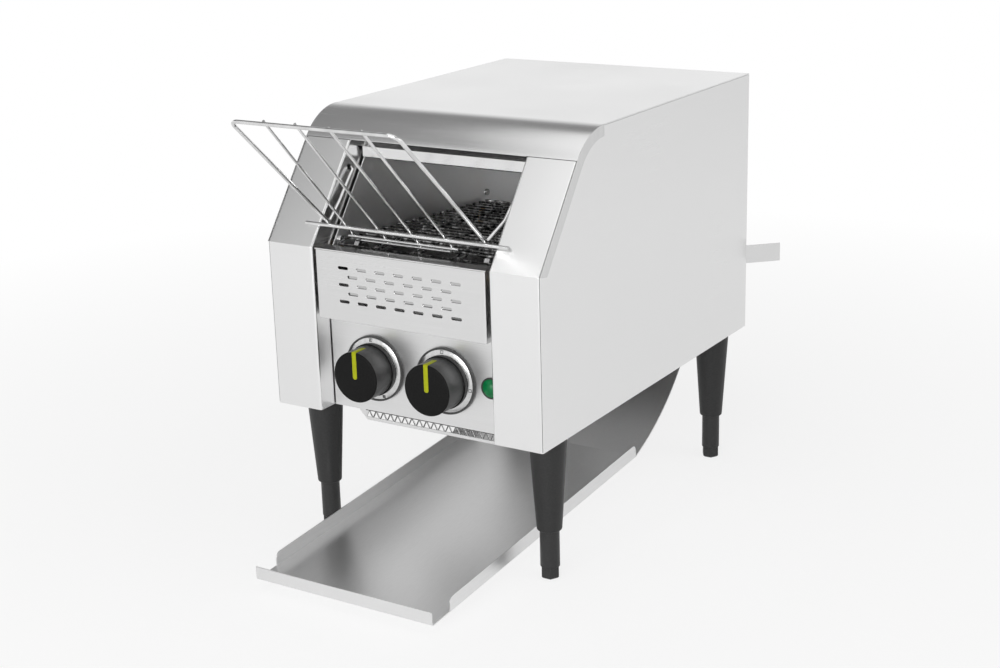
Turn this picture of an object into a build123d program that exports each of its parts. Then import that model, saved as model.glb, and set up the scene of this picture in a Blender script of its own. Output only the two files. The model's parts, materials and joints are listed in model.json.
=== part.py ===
from build123d import *
import math
import os

# Countertop conveyor toaster. Millimetres. Depths run back from the front face of the columns,
# heights run up from the surface that the feet stand on, and +X is the right-hand side seen
# from the front. export() moves the finished pieces so that the part's origin is the middle of
# its overall box, on that surface.

# Casing
BODY_WIDTH = 288.0
BODY_DEPTH = 420.0
BODY_HEIGHT = 266.0
COLUMN_HEIGHT = 156.0        # casing bottom to the knee, where the front starts to slope back
COLUMN_WIDTH = 50.0
COLUMN_RETURN = 25.0         # depth of the flange folded back beside the opening
SLOPE_ANGLE = 37.2           # of the sloping front, from vertical
SHOULDER_RADIUS = 60.0
SHEET = 1.0
BEND_RADIUS = 2.0            # outer radius of the columns' bends
SEAM_GAP = 0.2               # between sheets that are screwed together
HOOD_LIP = 12.0              # flange folded in along the hood's front edge
HOOD_SKIRT = 12.0            # flanges of the hood inside the side panels
FLOOR_FLANGE = 10.0

# Front panels
VENT_HEIGHT = 65.0
VENT_SIDE_GAP = 4.0
CONTROL_RECESS = 21.0
CONTROL_SIDE_GAP = 1.0
CONTROL_OVERLAP = 10.0       # of the control panel behind the vent panel
LIP_DROP = 9.5               # of the control panel's lip below the casing
LIP_START_INSET = 28.0       # where the lip's sloping end starts, from the opening's left side
LIP_CHAMFER = 9.0
LIP_END_INSET = 3.0          # from the opening's right side
LIP_END_RISE = 4.0
LATTICE_START_INSET = 35.0
LATTICE_END_INSET = 6.0
LATTICE_PITCH = 4.0
LATTICE_WEB = 1.0
LATTICE_BAND = 6.0
SLOT_LENGTH = 11.0
SLOT_WIDTH = 2.8
SLOT_PITCH = 20.0
SLOT_ROW_PITCH = 7.8
SLOT_ROWS = 5
SLOTS_IN_ROW = 7
SLOT_TOP_MARGIN = 15.5
SILL_DEPTH = 15.0
SILL_APRON = 30.0
BAFFLE_LEFT_INSET = 39.5     # from the opening's sides
BAFFLE_RIGHT_INSET = 18.0
BAFFLE_BOTTOM_GAP = 6.0      # above the lowest row of slots
BAFFLE_RECESS = 0.7

# Conveyor
WALL_STEP = 3.0              # the chamber walls stand this far inside the opening
BELT_SIDE_GAP = 4.0
BELT_TILT = 3.6              # the belt drops towards the rear
BELT_RADIUS = 17.0           # shaft centre to belt wire centre
BELT_WIRE = 2.0
BELT_STRAND_PITCH = 12.0
BELT_LENGTH_LINES = 7
BELT_BELOW_KNEE = 16.0
BELT_FRONT_DEPTH = 38.0
SHAFT_SPACING = 242.5
SHAFT_DIAMETER = 12.0
SPROCKET_WIDTH = 5.0
SPROCKET_TEETH = 8
SPROCKET_INSET = 17.0        # from the belt's edge
SPROCKET_TOOTH = 2.4
SHAFT_END = 1.0              # shaft past its bush
RUNNING_CLEARANCE = 0.05     # radial, shaft in bush
MOVING_GAP = 0.3
BUSH_FLANGE_DIAMETER = 26.0
BUSH_DIAMETER = 18.0
BUSH_FLANGE = 3.0

# Drive
MOTOR_DROP = 76.0            # motor shaft below the rear shaft
MOTOR_BACK = 12.0            # and in front of it
CHAIN_RADIUS = 16.0
CHAIN_ROLLER = 4.0
CHAIN_PLATE_HEIGHT = 4.4
CHAIN_PITCH = 8.0
CHAIN_PLATE = 0.8
CHAIN_SPROCKET_WIDTH = 2.6
CHAIN_SPROCKET_TEETH = 12
CHAIN_SPROCKET_TOOTH = 1.4
TOOTH_TIP = 0.25             # share of half a tooth's pitch that its tip takes
TOOTH_FOOT = 0.7             # and where its flank ends
CHAIN_WALL_GAP = 9.0         # from the chamber wall to the chain's centre
GEARBOX_DIAMETER = 60.0
GEARBOX_LENGTH = 34.0
MOTOR_DIAMETER = 50.0
MOTOR_LENGTH = 48.0
MOTOR_PLATE = 3.0
MOTOR_PLATE_LENGTH = 74.0
MOTOR_PLATE_HEIGHT = 66.0
MOTOR_SHAFT = 8.0
MOTOR_SHAFT_INSERT = 20.0

# Heaters
TUBE_DIAMETER = 10.0
TUBE_CLEARANCE = 0.3
CAP_DIAMETER = 16.0
CAP_LENGTH = 14.0
CAP_SEAT = 9.0
LOWER_TUBE_OFFSET = 4.5      # above the line between the shafts
LOWER_TUBES = (78.0, 165.0)  # along the belt from the front shaft
UPPER_TUBES = (135.0, 230.0) # depths
UPPER_TUBE_HEIGHT = 215.0    # above the casing bottom
LOWER_REFLECTOR_DROP = 7.0
LOWER_REFLECTOR_MARGIN = 32.0
STRIP_DEPTH = 80.0           # front strip of the upper reflector
STRIP_BOTTOM = 224.5         # above the casing bottom
REFLECTOR_TOP = 239.0
REFLECTOR_BACK = 306.0
REFLECTOR_BACK_DROP = 24.0

# Rear toast guide and drop opening
GUIDE_START_DEPTH = 312.0
GUIDE_START_HEIGHT = 214.0
GUIDE_REAR_GAP = 24.0        # from the guide's upright part to the rear of the casing
GUIDE_SHOULDER_HEIGHT = 160.0
GUIDE_RADIUS = 50.0
DROP_LENGTH = 88.0
DROP_GUIDE_GAP = 8.0         # from the opening's rear edge to the guide
DROP_SIDE_MARGIN = 4.0

# Cooling fan on the floor plate
FAN_SIZE = 80.0
FAN_DEPTH = 25.0
FAN_WALL_GAP = 13.0          # to the left chamber wall
FAN_Y = 118.0
FAN_DUCT = 76.0
FAN_HUB = 32.0
FAN_CORNER_RADIUS = 5.0
FAN_STRUT = 3.0
FAN_STRUTS = 3
FAN_BLADES = 7
FAN_BLADE = 1.4              # thickness
FAN_BLADE_MARGIN = 1.0       # blade tips to duct, and blade edges inside the hub's ends
FAN_PITCH = 35.0
FAN_INTAKE_SLOTS = 7
FAN_INTAKE_PITCH = 9.5
FAN_INTAKE_WIDTH = 4.8
FAN_SCREW_SPACING = 71.5

# Controls
LEFT_KNOB_INSET = 49.5       # from the opening's left side
KNOB_SPACING = 77.5
KNOB_HEIGHT = 43.0           # above the casing bottom
KNOB_DIAMETER = 47.5
KNOB_SKIRT_DIAMETER = 49.5
KNOB_LENGTH = 29.0
KNOB_EDGE = 1.0
POINTER_WIDTH = 3.6
POINTER_DEPTH = 1.2
POINTER_PAST_CENTRE = 1.7
POINTER_ON_SIDE = 15.5       # length along the knob's side
POINTER_PROUD = 0.3
DIAL_RIM_OUTER = 62.0
DIAL_RIM_INNER = 58.4
DIAL_RIM_THICKNESS = 2.6
DIAL_RING_INNER = 40.0
DIAL_RING_THICKNESS = 2.0
SPINDLE_DIAMETER = 6.0
SPINDLE_IN_KNOB = 16.0
SPINDLE_IN_BODY = 12.0
SWITCH_SIZE = 42.0
SWITCH_DEPTH = 38.0
SPEED_CONTROL_DIAMETER = 34.0
SPEED_CONTROL_DEPTH = 22.0
LAMP_INSET = 14.0            # from the opening's right side
LAMP_HEIGHT = 43.0
LAMP_DIAMETER = 17.0
LAMP_RIM_DIAMETER = 19.6
LAMP_RIM_THICKNESS = 1.4
LAMP_DOME = 4.0
LAMP_BODY_DIAMETER = 13.0
LAMP_BODY_LENGTH = 28.0

# Wiring
THERMOSTAT_DEPTH = 210.0
THERMOSTAT_HEIGHT = 155.0
THERMOSTAT_DIAMETER = 16.0
THERMOSTAT_LENGTH = 14.0
THERMOSTAT_PLATE = 2.0
THERMOSTAT_PLATE_LENGTH = 24.0
TERMINAL_REAR_GAP = 70.0     # middle of the terminals to the rear of the casing
TERMINAL_WAYS = 5
TERMINAL_PITCH = 10.0
TERMINAL_GAP = 3.0           # between the raised ways
TERMINAL_WIDTH = 20.0
TERMINAL_BASE = 10.0
TERMINAL_RISE = 8.0
TERMINAL_SCREW = 4.0
GLAND_INSET = 32.0           # from the casing's left side
GLAND_HEIGHT = 32.0
GLAND_HOLE = 20.0
GLAND_BORE = 8.0
GLAND_THREAD = 8.0           # inside the rear panel
GLAND_NUT = 8.0
GLAND_NUT_CORNERS = 27.2
GLAND_DOME = 16.0
GLAND_DOME_END = 14.4

# Rear panel
LOUVRE_LENGTH = 46.0
LOUVRE_WIDTH = 4.0
LOUVRE_PITCH = 12.0
LOUVRES = 7
LOUVRE_SPREAD = 34.5         # middle of each column of slots, from the centre
SPACER_HEIGHT = 64.0         # bottom edge above the casing bottom
SPACER_TALL = 19.0
SPACER_FOOT = 28.0
SPACER_ARM = 57.0
SPACER_ANGLE = 44.0
SPACER_SHEET = 1.5
SPACER_SIDE_INSET = 21.0     # of the bend, from the side panel
SCREW_HEAD = 7.0
SCREW_HEAD_HEIGHT = 2.2
SCREW_SHANK = 4.0
SCREW_LENGTH = 8.0
SCREW_HOLE = 4.6
SCREW_RECESS = 0.9
WALL_SCREW_BACK = 8.0        # rear chamber screw behind the rear shaft
WALL_SCREW_RISE = 24.0       # and above it

# Legs and feet
LEG_HEIGHT = 90.0
LEG_TOP_DIAMETER = 35.0
LEG_BOTTOM_DIAMETER = 23.0
LEG_INSET_SIDE = 20.7
LEG_INSET_FRONT = 43.2
LEG_INSET_REAR = 38.0
LEG_EDGE = 1.5
FOOT_SHOW = 47.0
FOOT_DIAMETER = 18.0
FOOT_INSERT = 30.0
FOOT_IN = 8.0                # how far a foot still screws in
FOOT_HEX_HEIGHT = 10.0
FOOT_HEX_FLATS = 15.5
FOOT_CHAMFER = 1.5

# Feed rack
RACK_WIRE = 3.5
RACK_THIN_WIRE = 2.5
RACK_REACH = 109.6           # top bar in front of the columns
RACK_TOP_ABOVE_KNEE = 133.4
RACK_HALF_WIDTH = 83.5
RACK_CORNER_RADIUS = 8.0
CROSSBAR_UP_SLOPE = 22.0     # from the knee
CROSSBAR_HALF_LENGTH = 107.5
INNER_WIRES = 4
INNER_TOP_PITCH = 32.4
INNER_FOOT_PITCH = 35.4
INNER_TOP_SHIFT = -0.8       # the inner wires lean a little to the left
INNER_FOOT_SHIFT = -11.2
INNER_OVERRUN = 23.0         # below the crossbar
WELD_SHARE = 0.9             # of the distance that just touching wires would have
LOWER_BARS_X = -10.0
SECOND_BAR_HALF = 59.0
THIRD_BAR_HALF = 48.0
BAR_STEP = 6.0
ARM_BEND_LIFT = 2.8          # where the side wires bend down, above the crossbar's line
ARM_KNEE_UP_SLOPE = 50.0     # where the side arms turn up along the slope
ARM_KNEE_DEPTH = 8.5
ARM_BEND_RADIUS = 4.2
ARM_KNEE_RADIUS = 20.0
RACK_PIN_UP_SLOPE = 86.3
RACK_PIN_DEPTH = 13.5        # behind the slope
RACK_SIDE_GAP = 4.0          # arm to column flange
RACK_PIN_SLOT = 5.0
RACK_PIN_SLOT_LENGTH = 11.0
RACK_PIN_REACH = 3.0

# Collector tray
TRAY_HALF_WIDTH = 95.0
TRAY_REACH = 106.0           # lip in front of the columns
TRAY_FRONT_HEIGHT = 9.0
TRAY_LIP = 13.0
TRAY_FLANGE = 13.0
TRAY_FLANGE_FRONT = 28.0     # the side flanges start this far behind the lip
TRAY_BEND_REAR_GAP = 155.0   # from the start of the chute to the rear of the casing
TRAY_SLOPE = 3.8
CHUTE_START_ANGLE = 19.0
CHUTE_RADIUS = 247.0
CHUTE_TOP_HEIGHT = 120.0
TRAY_HOOK = 15.0
HANGER_WIDTH = 24.0
HANGER_SPACING = 120.0
HANGER_SHEET = 1.2

# Places worked out from the sizes above
HALF_WIDTH = BODY_WIDTH / 2
BODY_BOTTOM = FOOT_SHOW + LEG_HEIGHT
BODY_TOP = BODY_BOTTOM + BODY_HEIGHT
KNEE = BODY_BOTTOM + COLUMN_HEIGHT
SLOPE = math.radians(SLOPE_ANGLE)
SLOPE_UP = (math.sin(SLOPE), math.cos(SLOPE))      # depth and height gained going up the slope
SLOPE_IN = (math.cos(SLOPE), -math.sin(SLOPE))     # into the casing, square to the slope
OPENING_HALF = HALF_WIDTH - COLUMN_WIDTH
WALL_INNER = OPENING_HALF - WALL_STEP
WALL_OUTER = WALL_INNER + SHEET
SHOULDER_TANGENT = SHOULDER_RADIUS * math.tan((math.pi / 2 - SLOPE) / 2)
SLOPE_LENGTH = (BODY_TOP - KNEE) / math.cos(SLOPE) - SHOULDER_TANGENT
FLOOR_TOP = BODY_BOTTOM + SHEET
VENT_BOTTOM = KNEE - VENT_HEIGHT
CONTROL_TOP = VENT_BOTTOM + CONTROL_OVERLAP
CONTROL_BACK = CONTROL_RECESS + SHEET
BELT_HALF = WALL_INNER - BELT_SIDE_GAP
KNOB_Z = BODY_BOTTOM + KNOB_HEIGHT
LAMP_Z = BODY_BOTTOM + LAMP_HEIGHT
SPACER_REACH = SPACER_ARM * math.sin(math.radians(SPACER_ANGLE))


def up_slope(distance, inward=0.0):
    """Depth and height of a point this far up the sloping front and this far behind it."""
    return (distance * SLOPE_UP[0] + inward * SLOPE_IN[0],
            KNEE + distance * SLOPE_UP[1] + inward * SLOPE_IN[1])


BELT_FRAME = Pos(0, BELT_FRONT_DEPTH, KNEE - BELT_BELOW_KNEE) * Rot(-BELT_TILT, 0, 0)


def on_belt(along, above=0.0):
    """Depth and height of a point given along and above the line between the two shafts."""
    place = (BELT_FRAME * Pos(0, along, above)).position
    return place.Y, place.Z


FRONT_SHAFT = on_belt(0)
REAR_SHAFT = on_belt(SHAFT_SPACING)
MOTOR_AXIS = (REAR_SHAFT[0] - MOTOR_BACK, REAR_SHAFT[1] - MOTOR_DROP)
LIP_START = LIP_START_INSET - OPENING_HALF
LIP_END = OPENING_HALF - LIP_END_INSET
LATTICE_START = LATTICE_START_INSET - OPENING_HALF
LATTICE_END = OPENING_HALF - LATTICE_END_INSET
LEFT_KNOB_X = LEFT_KNOB_INSET - OPENING_HALF
RIGHT_KNOB_X = LEFT_KNOB_X + KNOB_SPACING
LAMP_X = OPENING_HALF - LAMP_INSET
FAN_X = FAN_WALL_GAP + FAN_SIZE / 2 - WALL_INNER
FAN_BASE = FLOOR_TOP + SEAM_GAP
GUIDE_BACK_DEPTH = BODY_DEPTH - GUIDE_REAR_GAP
DROP_BACK = GUIDE_BACK_DEPTH - DROP_GUIDE_GAP
DROP_FRONT = DROP_BACK - DROP_LENGTH
TERMINAL_DEPTH = BODY_DEPTH - TERMINAL_REAR_GAP
TRAY_BEND_DEPTH = BODY_DEPTH - TRAY_BEND_REAR_GAP
GLAND_X = GLAND_INSET - HALF_WIDTH
RACK_PIN = up_slope(RACK_PIN_UP_SLOPE, RACK_PIN_DEPTH)
LEG_X = HALF_WIDTH - LEG_INSET_SIDE
LEG_FRONT = LEG_INSET_FRONT
LEG_REAR = BODY_DEPTH - LEG_INSET_REAR
SOCKET_DIAMETER = FOOT_DIAMETER + 2 * MOVING_GAP
SOCKET_DEPTH = FOOT_INSERT + FOOT_IN + FOOT_CHAMFER

FRONT_MOST = -(RACK_REACH + RACK_WIRE / 2)
REAR_MOST = BODY_DEPTH + SPACER_SHEET + SPACER_REACH
ORIGIN_DEPTH = (FRONT_MOST + REAR_MOST) / 2


# Shapes used by several pieces

def block(x0, x1, y0, y1, z0, z1):
    """A box between two corners."""
    return Pos((x0 + x1) / 2, (y0 + y1) / 2, (z0 + z1) / 2) * Box(x1 - x0, y1 - y0, z1 - z0)


def bar_x(diameter, x0, x1, y, z):
    """A round bar across the machine."""
    return Pos((x0 + x1) / 2, y, z) * Rot(0, 90, 0) * Cylinder(diameter / 2, x1 - x0)


def bar_y(diameter, x, y0, y1, z):
    """A round bar running front to back."""
    return Pos(x, (y0 + y1) / 2, z) * Rot(90, 0, 0) * Cylinder(diameter / 2, y1 - y0)


def bar_z(diameter, x, y, z0, z1):
    """An upright round bar."""
    return Pos(x, y, (z0 + z1) / 2) * Cylinder(diameter / 2, z1 - z0)


def profile(points):
    """A flat face through depth and height points, in the plane that divides left from right."""
    return make_face(Plane.YZ * Polyline(*points, close=True))


def across(face, x0, x1):
    """A face in depth and height, made solid from x0 to x1."""
    return Pos(x0, 0, 0) * extrude(face, x1 - x0, dir=(1, 0, 0))


def folded(points, radii, x0, x1, thickness=SHEET):
    """A sheet folded along a line of depth and height points, centred on that line."""
    if len(points) > 2:
        line = FilletPolyline(*points, radius=radii)
    else:
        line = Line(*points)
    return across(Plane.YZ * trace(line, thickness), x0, x1)


def wire(points, diameter, radii):
    """A bent round wire through three-dimensional points."""
    line = FilletPolyline(*points, radius=radii)
    start = Plane(origin=line @ 0, z_dir=line % 0)
    return sweep(start * Circle(diameter / 2), path=line)


def rod(start, end, diameter):
    """A straight round rod between two points."""
    line = Line(start, end)
    return sweep(Plane(origin=start, z_dir=line % 0) * Circle(diameter / 2), path=line)


def group(shapes):
    """Several separate solids that share one node."""
    return Compound([solid for shape in shapes for solid in shape.solids()])


def both_sides(shape):
    """A shape and its mirror image, left and right."""
    return [shape, mirror(shape, Plane.YZ)]


def export(name, shape):
    to_origin = Pos(0, -ORIGIN_DEPTH, 0)
    export_step(Compound([to_origin * solid for solid in shape.solids()]), f"parts/{name}.step")


# Casing

def casing_outline(inset=0.0):
    """Side view of the casing, its shoulder and top lowered by inset."""
    seam = up_slope(SLOPE_LENGTH)
    seam_in = up_slope(SLOPE_LENGTH, inset)
    radius = SHOULDER_RADIUS - inset
    centre = up_slope(SLOPE_LENGTH, SHOULDER_RADIUS)
    turn = (math.pi / 2 - SLOPE) / 2
    mid_angle = math.pi / 2 + turn
    middle = (centre[0] + radius * math.cos(mid_angle), centre[1] + radius * math.sin(mid_angle))
    top_front = (centre[0], BODY_TOP - inset)
    line = Polyline((0, KNEE), seam, seam_in) if inset else Line((0, KNEE), seam)
    arc = ThreePointArc(seam_in, middle, top_front)
    rest = Polyline(top_front, (BODY_DEPTH, BODY_TOP - inset), (BODY_DEPTH, BODY_BOTTOM),
                    (0, BODY_BOTTOM), (0, KNEE))
    return Plane.YZ * make_face([line, arc, rest])


def side_panel():
    """Right side panel, folded round the column and back beside the opening."""
    inner = BEND_RADIUS - SHEET
    side_leg = BEND_RADIUS + SHEET
    section = (Pos(HALF_WIDTH - SHEET / 2, side_leg / 2) * Rectangle(SHEET, side_leg)
               + Pos(HALF_WIDTH - COLUMN_WIDTH / 2, SHEET / 2) * Rectangle(COLUMN_WIDTH, SHEET)
               + Pos(OPENING_HALF + SHEET / 2, COLUMN_RETURN / 2) * Rectangle(SHEET, COLUMN_RETURN))
    for corner, radius in (((HALF_WIDTH, 0), BEND_RADIUS), ((OPENING_HALF, 0), BEND_RADIUS),
                           ((HALF_WIDTH - SHEET, SHEET), inner),
                           ((OPENING_HALF + SHEET, SHEET), inner)):
        section = fillet(section.vertices().sort_by_distance((*corner, 0))[0], radius)
    path = Polyline((0, 0, BODY_BOTTOM), (0, 0, KNEE), (0, *up_slope(SLOPE_LENGTH)))
    column = sweep(Pos(0, 0, BODY_BOTTOM) * section, path=path, transition=Transition.RIGHT)
    side = across(casing_outline(SHEET + SEAM_GAP), HALF_WIDTH - SHEET, HALF_WIDTH)
    front_edge = profile([(-SHEET, BODY_BOTTOM), (-SHEET, KNEE), up_slope(SLOPE_LENGTH, -SHEET),
                          up_slope(SLOPE_LENGTH, side_leg), (side_leg, KNEE - side_leg * SLOPE_UP[0] / 2),
                          (side_leg, BODY_BOTTOM)])
    side -= across(front_edge, HALF_WIDTH - 2 * SHEET, HALF_WIDTH + SHEET)
    pin_y, pin_z = RACK_PIN
    slot = Pos(OPENING_HALF, pin_y, pin_z) * Rot(0, 90, 0) * extrude(
        Rot(0, 0, 90 - SLOPE_ANGLE) * SlotOverall(RACK_PIN_SLOT_LENGTH, RACK_PIN_SLOT),
        3 * SHEET, both=True)
    return column + side - slot


def top_cover():
    """Hood over the shoulder and top, with a lip at the front and skirts at the sides."""
    shell = across(casing_outline() - casing_outline(SHEET), -HALF_WIDTH, HALF_WIDTH)
    seam = up_slope(SLOPE_LENGTH)
    above_seam = profile([seam, up_slope(SLOPE_LENGTH, SHOULDER_RADIUS),
                          (BODY_DEPTH, up_slope(SLOPE_LENGTH, SHOULDER_RADIUS)[1]),
                          (BODY_DEPTH, BODY_TOP), (seam[0], BODY_TOP)])
    shell &= across(above_seam, -HALF_WIDTH, HALF_WIDTH)
    lip = profile([up_slope(SLOPE_LENGTH), up_slope(SLOPE_LENGTH, HOOD_LIP),
                   up_slope(SLOPE_LENGTH + SHEET, HOOD_LIP), up_slope(SLOPE_LENGTH + SHEET)])
    lip_half = HALF_WIDTH - SHEET - SEAM_GAP
    band = (casing_outline(SHEET / 2) - casing_outline(HOOD_SKIRT)) & profile(
        [up_slope(SLOPE_LENGTH + SHEET), up_slope(SLOPE_LENGTH + SHEET, SHOULDER_RADIUS),
         (BODY_DEPTH - SHEET - SEAM_GAP, up_slope(SLOPE_LENGTH, SHOULDER_RADIUS)[1]),
         (BODY_DEPTH - SHEET - SEAM_GAP, BODY_TOP), (seam[0], BODY_TOP)])
    skirt = across(band, lip_half - SHEET, lip_half)
    return shell + across(lip, -lip_half, lip_half) + both_sides(skirt)


def rear_screw_places():
    """Across and up, where the screws hold the rear panel."""
    x = HALF_WIDTH - 3 * SCREW_HEAD / 2
    heights = (FLOOR_TOP + 2 * SCREW_HEAD, (BODY_BOTTOM + BODY_TOP) / 2 + SPACER_TALL,
               BODY_TOP - 2 * SCREW_HEAD)
    return [(side * x, z) for side in (-1, 1) for z in heights]


def spacer_screw_places():
    x = HALF_WIDTH - SPACER_SIDE_INSET - SPACER_FOOT / 2
    z = BODY_BOTTOM + SPACER_HEIGHT + SPACER_TALL / 2
    return [(-x, z), (x, z)]


def rear_panel():
    """Flat rear sheet with cooling slots, screw holes and the hole for the cable gland."""
    half = HALF_WIDTH - SHEET - SEAM_GAP
    y0, y1 = BODY_DEPTH - SHEET, BODY_DEPTH
    panel = block(-half, half, y0, y1, BODY_BOTTOM, BODY_TOP - SHEET - SEAM_GAP)
    middle = (BODY_BOTTOM + BODY_TOP) / 2 - LOUVRE_PITCH * (LOUVRES - 1) / 2
    for side in (-1, 1):
        for row in range(LOUVRES):
            place = Pos(side * LOUVRE_SPREAD, BODY_DEPTH, middle + row * LOUVRE_PITCH)
            panel -= place * Rot(90, 0, 0) * extrude(SlotOverall(LOUVRE_LENGTH, LOUVRE_WIDTH),
                                                     3 * SHEET, both=True)
    for x, z in rear_screw_places() + spacer_screw_places():
        panel -= bar_y(SCREW_HOLE, x, y0 - SHEET, y1 + SHEET, z)
    panel -= bar_y(GLAND_HOLE, GLAND_X, y0 - SHEET, y1 + SHEET, BODY_BOTTOM + GLAND_HEIGHT)
    return panel


def bottom_plate():
    """Floor of the casing, with the toast's drop opening and the fan's air intake."""
    half = HALF_WIDTH - SHEET - SEAM_GAP
    tongue = OPENING_HALF - SEAM_GAP
    start = COLUMN_RETURN + SEAM_GAP
    plate = block(-half, half, start, BODY_DEPTH - SHEET - SEAM_GAP, BODY_BOTTOM, FLOOR_TOP)
    plate += block(-tongue, tongue, CONTROL_BACK + SEAM_GAP, start, BODY_BOTTOM, FLOOR_TOP)
    plate += both_sides(block(OPENING_HALF + BEND_RADIUS + SEAM_GAP, half,
                              BEND_RADIUS + SEAM_GAP, start, BODY_BOTTOM, FLOOR_TOP))
    plate -= block(DROP_SIDE_MARGIN - WALL_INNER, WALL_INNER - DROP_SIDE_MARGIN,
                   DROP_FRONT, DROP_BACK, BODY_BOTTOM - SHEET, FLOOR_TOP + SHEET)
    for slot in range(FAN_INTAKE_SLOTS):
        row = (slot - (FAN_INTAKE_SLOTS - 1) / 2) * FAN_INTAKE_PITCH
        half_chord = math.sqrt((FAN_DUCT / 2) ** 2 - row ** 2) - SHEET
        plate -= block(FAN_X - half_chord, FAN_X + half_chord, FAN_Y + row - FAN_INTAKE_WIDTH / 2,
                       FAN_Y + row + FAN_INTAKE_WIDTH / 2, BODY_BOTTOM - SHEET, FLOOR_TOP + SHEET)
    return plate


def slot_places():
    """Across and up, the middle of each cooling slot in the front panel."""
    places = []
    for row in range(SLOT_ROWS):
        count = SLOTS_IN_ROW - row % 2
        for column in range(count):
            places.append(((column - (count - 1) / 2) * SLOT_PITCH,
                           KNEE - SLOT_TOP_MARGIN - row * SLOT_ROW_PITCH))
    return places


def vent_panel():
    """Slotted front panel, folded back at its sides and bottom to the control panel."""
    half = OPENING_HALF - VENT_SIDE_GAP
    back = CONTROL_RECESS - SEAM_GAP
    box = block(-half, half, 0, back, VENT_BOTTOM, KNEE - SHEET - SEAM_GAP)
    box = fillet(box.edges().filter_by(Axis.Z).group_by(Axis.Y)[0], SHEET)
    panel = box - block(SHEET - half, half - SHEET, SHEET, back + SHEET, VENT_BOTTOM + SHEET, KNEE)
    for x, z in slot_places():
        panel -= Pos(x, 0, z) * Rot(90, 0, 0) * extrude(SlotOverall(SLOT_LENGTH, SLOT_WIDTH),
                                                        3 * SHEET, both=True)
    return panel


def vent_baffle():
    """Bright sheet close behind most of the cooling slots, folded back to the sill's apron."""
    top = KNEE - 2 * SHEET - 2 * SEAM_GAP
    bottom = KNEE - SLOT_TOP_MARGIN - (SLOT_ROWS - 1) * SLOT_ROW_PITCH + BAFFLE_BOTTOM_GAP
    return folded([(SILL_DEPTH - SHEET - SEAM_GAP, top), (BAFFLE_RECESS + SHEET, top),
                   (BAFFLE_RECESS + SHEET, bottom), (SILL_DEPTH - SHEET - SEAM_GAP, bottom)],
                  SHEET, BAFFLE_LEFT_INSET - OPENING_HALF, OPENING_HALF - BAFFLE_RIGHT_INSET)


def sill_plate():
    """Polished sill behind the top edge of the vent panel, turned down in front of the belt."""
    z = KNEE - SHEET / 2
    half = OPENING_HALF - VENT_SIDE_GAP - SHEET - SEAM_GAP
    ledge = block(half, WALL_INNER - SEAM_GAP, 0, SILL_DEPTH - BEND_RADIUS, KNEE - SHEET, KNEE)
    return folded([(0, z), (SILL_DEPTH, z), (SILL_DEPTH, z - SILL_APRON)], SHEET,
                  -half, half) + both_sides(ledge)


def lattice_hole(x, point_up):
    """One triangular opening of the lattice, in the plane of the control panel."""
    top = BODY_BOTTOM - LATTICE_WEB / 2
    bottom = top - LATTICE_BAND
    base, tip = (bottom, top) if point_up else (top, bottom)
    half = LATTICE_PITCH - LATTICE_WEB
    return Polyline((x - half, base), (x + half, base), (x, tip), close=True)


def control_panel():
    """Recessed panel that carries the knobs and lamp, with a pierced lip along its bottom."""
    half = OPENING_HALF - CONTROL_SIDE_GAP
    lip = BODY_BOTTOM - LIP_DROP
    outline = Polyline((-half, CONTROL_TOP), (half, CONTROL_TOP), (half, lip + LIP_END_RISE),
                       (LIP_END, lip), (LIP_START + LIP_CHAMFER, lip), (LIP_START, BODY_BOTTOM),
                       (-half, BODY_BOTTOM), close=True)
    face = make_face(outline)
    x = LATTICE_START + LATTICE_PITCH
    point_up = True
    while x + LATTICE_PITCH <= LATTICE_END:
        face -= make_face(lattice_hole(x, point_up))
        x += LATTICE_PITCH
        point_up = not point_up
    for knob_x in (LEFT_KNOB_X, RIGHT_KNOB_X):
        face -= Pos(knob_x, KNOB_Z) * Circle(SPINDLE_DIAMETER)
    face -= Pos(LAMP_X, LAMP_Z) * Circle(LAMP_BODY_DIAMETER / 2 + MOVING_GAP)
    sheet = extrude(face, SHEET)
    return Pos(0, CONTROL_BACK, 0) * Rot(90, 0, 0) * sheet


# Toasting chamber

def wall_screw_places():
    """Depth and height of the two screws seen inside each chamber wall, above the belt."""
    return [on_belt(0, BELT_RADIUS - BELT_WIRE),
            on_belt(SHAFT_SPACING + WALL_SCREW_BACK, WALL_SCREW_RISE)]


def inner_wall():
    """Right chamber wall, which carries the shafts, heaters and reflectors."""
    inset = COLUMN_RETURN + SEAM_GAP
    lid = SHEET + SEAM_GAP
    outline = casing_outline(lid) & profile(
        [(inset, FLOOR_TOP + SEAM_GAP), (inset, KNEE - inset * SLOPE_UP[0] / 2),
         up_slope(SLOPE_LENGTH - SHEET, inset), up_slope(SLOPE_LENGTH + SHOULDER_RADIUS, inset),
         (BODY_DEPTH - lid, BODY_TOP), (BODY_DEPTH - lid, FLOOR_TOP + SEAM_GAP)])
    wall = across(outline, WALL_INNER, WALL_OUTER)
    wall += block(WALL_INNER, WALL_INNER + FLOOR_FLANGE, inset, BODY_DEPTH - lid,
                  FLOOR_TOP + SEAM_GAP, FLOOR_TOP + SEAM_GAP + SHEET)
    x0, x1 = WALL_INNER - SHEET, WALL_OUTER + SHEET
    for place in (FRONT_SHAFT, REAR_SHAFT):
        wall -= bar_x(BUSH_DIAMETER, x0, x1, *place)
    for place in heater_places():
        wall -= bar_x(TUBE_DIAMETER + 2 * TUBE_CLEARANCE, x0, x1, *place)
    for place in wall_screw_places():
        wall -= bar_x(SCREW_HOLE, x0, x1, *place)
    return wall


def drive_side_wall():
    """The right wall, with the extra hole for the motor shaft."""
    x0, x1 = WALL_INNER - SHEET, WALL_OUTER + SHEET
    return inner_wall() - bar_x(MOTOR_SHAFT + 4 * MOVING_GAP, x0, x1, *MOTOR_AXIS)


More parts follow.
